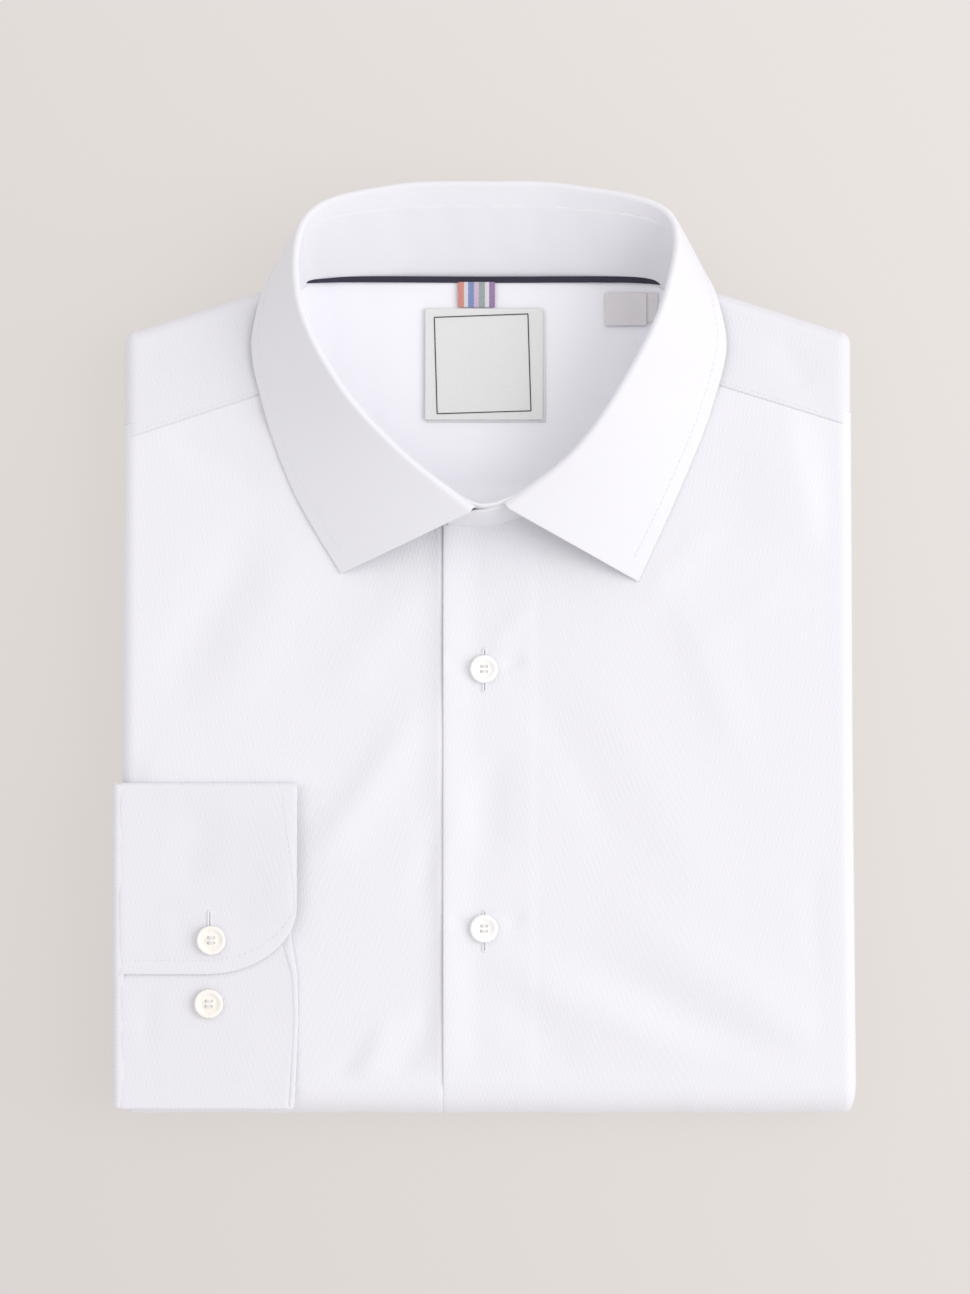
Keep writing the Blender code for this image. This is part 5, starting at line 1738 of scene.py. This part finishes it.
class SHIRT_OT_neck_trim(bpy.types.Operator):
    """Make the neck tape, the hanger loop and the two bare labels"""

    bl_idname = "shirt.neck_trim"
    bl_label = "Neck tape, loop and labels"

    def execute(self, context):
        rows = through(TAPE, np.linspace(0.0, 1.0, 150))
        part = shares(6, 2.6, TRIM_EDGE)[None, :, None]
        grid = rows[:, None, 0:3] + unit(np.array(TAPE_RISE)) * (rows[:, 3:4, None] * part)
        tape = cloth_both("neck_tape_ribbon", grid, TAPE_HALF, (len(grid) // 2, 5, UP))
        dress(tape, "ribbed tape", "neck_tape")

        for name, box, half, level, bow, curl, material, slot, node in NECK_TRIM:
            left, right, low, high = box
            x, y = np.meshgrid(
                left + (right - left) * shares(16, right - left, TRIM_EDGE),
                low + (high - low) * shares(20, high - low, TRIM_EDGE),
            )
            grid = np.stack([x, y, lying_z(x, y, box, level, bow, curl)], axis=-1)
            piece = cloth_both(name, grid, half, (6, 6, UP))
            cloth_piece(piece, material, slot, node, "yoke_lining", held="laid")
        self.border()
        return {"FINISHED"}

    def border(self):
        """A sewn square of dark thread on the neck label: satin stitches close together."""
        _, box, _, _, bow, curl, *_ = NECK_TRIM[1]
        corners = np.array(LABEL_BORDER)
        part = np.linspace(0.0, 1.0, 40)[:, None]
        lines = []
        for start, end in zip(corners, np.roll(corners, -1, axis=0)):
            x, y = (start + (end - start) * part).T
            line = np.stack([x, y, lying_z(x, y, box, LABEL_BORDER_Z, bow, curl)], axis=-1)
            lines.append((line, np.broadcast_to(UP, line.shape)))
        stitch_rows("neck_label_border", lines, BORDER_PITCH, BORDER_STITCH, "dark thread")


class SHIRT_OT_buttons(bpy.types.Operator):
    """Make the four buttons and the buttonholes of the front"""

    bl_idname = "shirt.buttons"
    bl_label = "Buttons"

    def execute(self, context):
        sizes = context.scene.shirt_sizes
        for number, (x, y, _, _) in enumerate(FRONT_BUTTONS, start=1):
            z = float(upper_face(x, y)) + FRONT_BUTTON_RISE
            make_button(number, "front", sizes.button_radius / MM, x, y, z)
        for number, (x, y, layer) in enumerate(CUFF_BUTTONS, start=1):
            z = float(cuff_bed(x, y)) + layer * CUFF_LAYER + CUFF_HALF + CUFF_BUTTON_RISE
            make_button(number, "cuff", sizes.cuff_button_radius / MM, x, y, z)
        for number, (x, y, below, above) in enumerate(FRONT_BUTTONS, start=1):
            buttonhole(f"front_buttonhole_{number}", x + 0.2, y - below, y + above, facing_top)
        return {"FINISHED"}


class SHIRT_OT_stitching(bpy.types.Operator):
    """Sew the top stitching of the collar, the cuff and the yoke seams"""

    bl_idname = "shirt.stitching"
    bl_label = "Stitching"

    def execute(self, context):
        pitch = context.scene.shirt_sizes.stitch_pitch / MM
        face, up = outer_face(leaf_points(), LEAF_HALF, LEAF_HALF)
        way = arc(face, 1)[:, -1]
        down = arc(face, 0)[:, -8]
        inside = (down > LEAF_END_MARGIN) & (down[-1] - down > LEAF_END_MARGIN)
        line = line_at(face[inside], up[inside], way[inside] - LEAF_MARGIN)
        stitch_rows("collar_leaf_stitching", [line], pitch)

        face, up = (part[:CUFF_TOP_ROWS] for part in outer_face(cuff_points(), CUFF_HALF, CUFF_EDGE))
        way = arc(face, 1)
        inside = arc(face, 0)[:, -20] > CUFF_MARGIN
        wrist = line_at(face[inside], up[inside], way[inside, -1] - CUFF_MARGIN)
        inside = (way[20] > 1.0) & (way[20, -1] - way[20] > CUFF_MARGIN)
        face, up = face[:, inside].swapaxes(0, 1), up[:, inside].swapaxes(0, 1)
        end = line_at(face, up, np.full(len(face), CUFF_MARGIN))
        stitch_rows("cuff_stitching", [wrist, end], pitch)

        yoke = yoke_points()
        up = facing_of(yoke)
        up = up * np.sign(up[5, 8, 2])
        lines = []
        for columns in (slice(8, 31), slice(-31, -8)):
            face, normal = (part[:YOKE_ROWS, columns].swapaxes(0, 1) for part in (yoke, up))
            lines.append(line_at(face, normal, np.full(len(face), YOKE_MARGIN), 0.05))
        stitch_rows("yoke_stitching", lines, pitch)
        return {"FINISHED"}


class SHIRT_PT_panel(bpy.types.Panel):
    """Steps that build the shirt, in order"""

    bl_idname = "SHIRT_PT_panel"
    bl_label = "Folded dress shirt"
    bl_space_type = "VIEW_3D"
    bl_region_type = "UI"
    bl_category = "Shirt"

    def draw(self, context):
        scene = context.scene
        for group in (scene.shirt_look, scene.shirt_sizes, scene.shirt_stage):
            box = self.layout.box()
            for name in group.bl_rna.properties.keys():
                if name not in ("rna_type", "name"):
                    box.prop(group, name)
        for step in STEPS:
            self.layout.operator(step.bl_idname)


STEPS = (
    SHIRT_OT_stage,
    SHIRT_OT_back,
    SHIRT_OT_fronts,
    SHIRT_OT_yoke,
    SHIRT_OT_sleeves,
    SHIRT_OT_cuff,
    SHIRT_OT_collar,
    SHIRT_OT_neck_trim,
    SHIRT_OT_buttons,
    SHIRT_OT_stitching,
)
CLASSES = (ShirtLook, ShirtSizes, ShirtStage) + STEPS + (SHIRT_PT_panel,)


def register():
    """Register the settings, steps and panel."""
    for item in CLASSES:
        bpy.utils.register_class(item)
    bpy.types.Scene.shirt_look = bpy.props.PointerProperty(type=ShirtLook)
    bpy.types.Scene.shirt_sizes = bpy.props.PointerProperty(type=ShirtSizes)
    bpy.types.Scene.shirt_stage = bpy.props.PointerProperty(type=ShirtStage)


def unregister():
    """Take them away again."""
    del bpy.types.Scene.shirt_stage
    del bpy.types.Scene.shirt_sizes
    del bpy.types.Scene.shirt_look
    for item in reversed(CLASSES):
        bpy.utils.unregister_class(item)


def main():
    """Build the shirt step by step."""
    register()
    for step in STEPS:
        group, name = step.bl_idname.split(".")
        getattr(getattr(bpy.ops, group), name)()


if __name__ == "__main__":
    main()
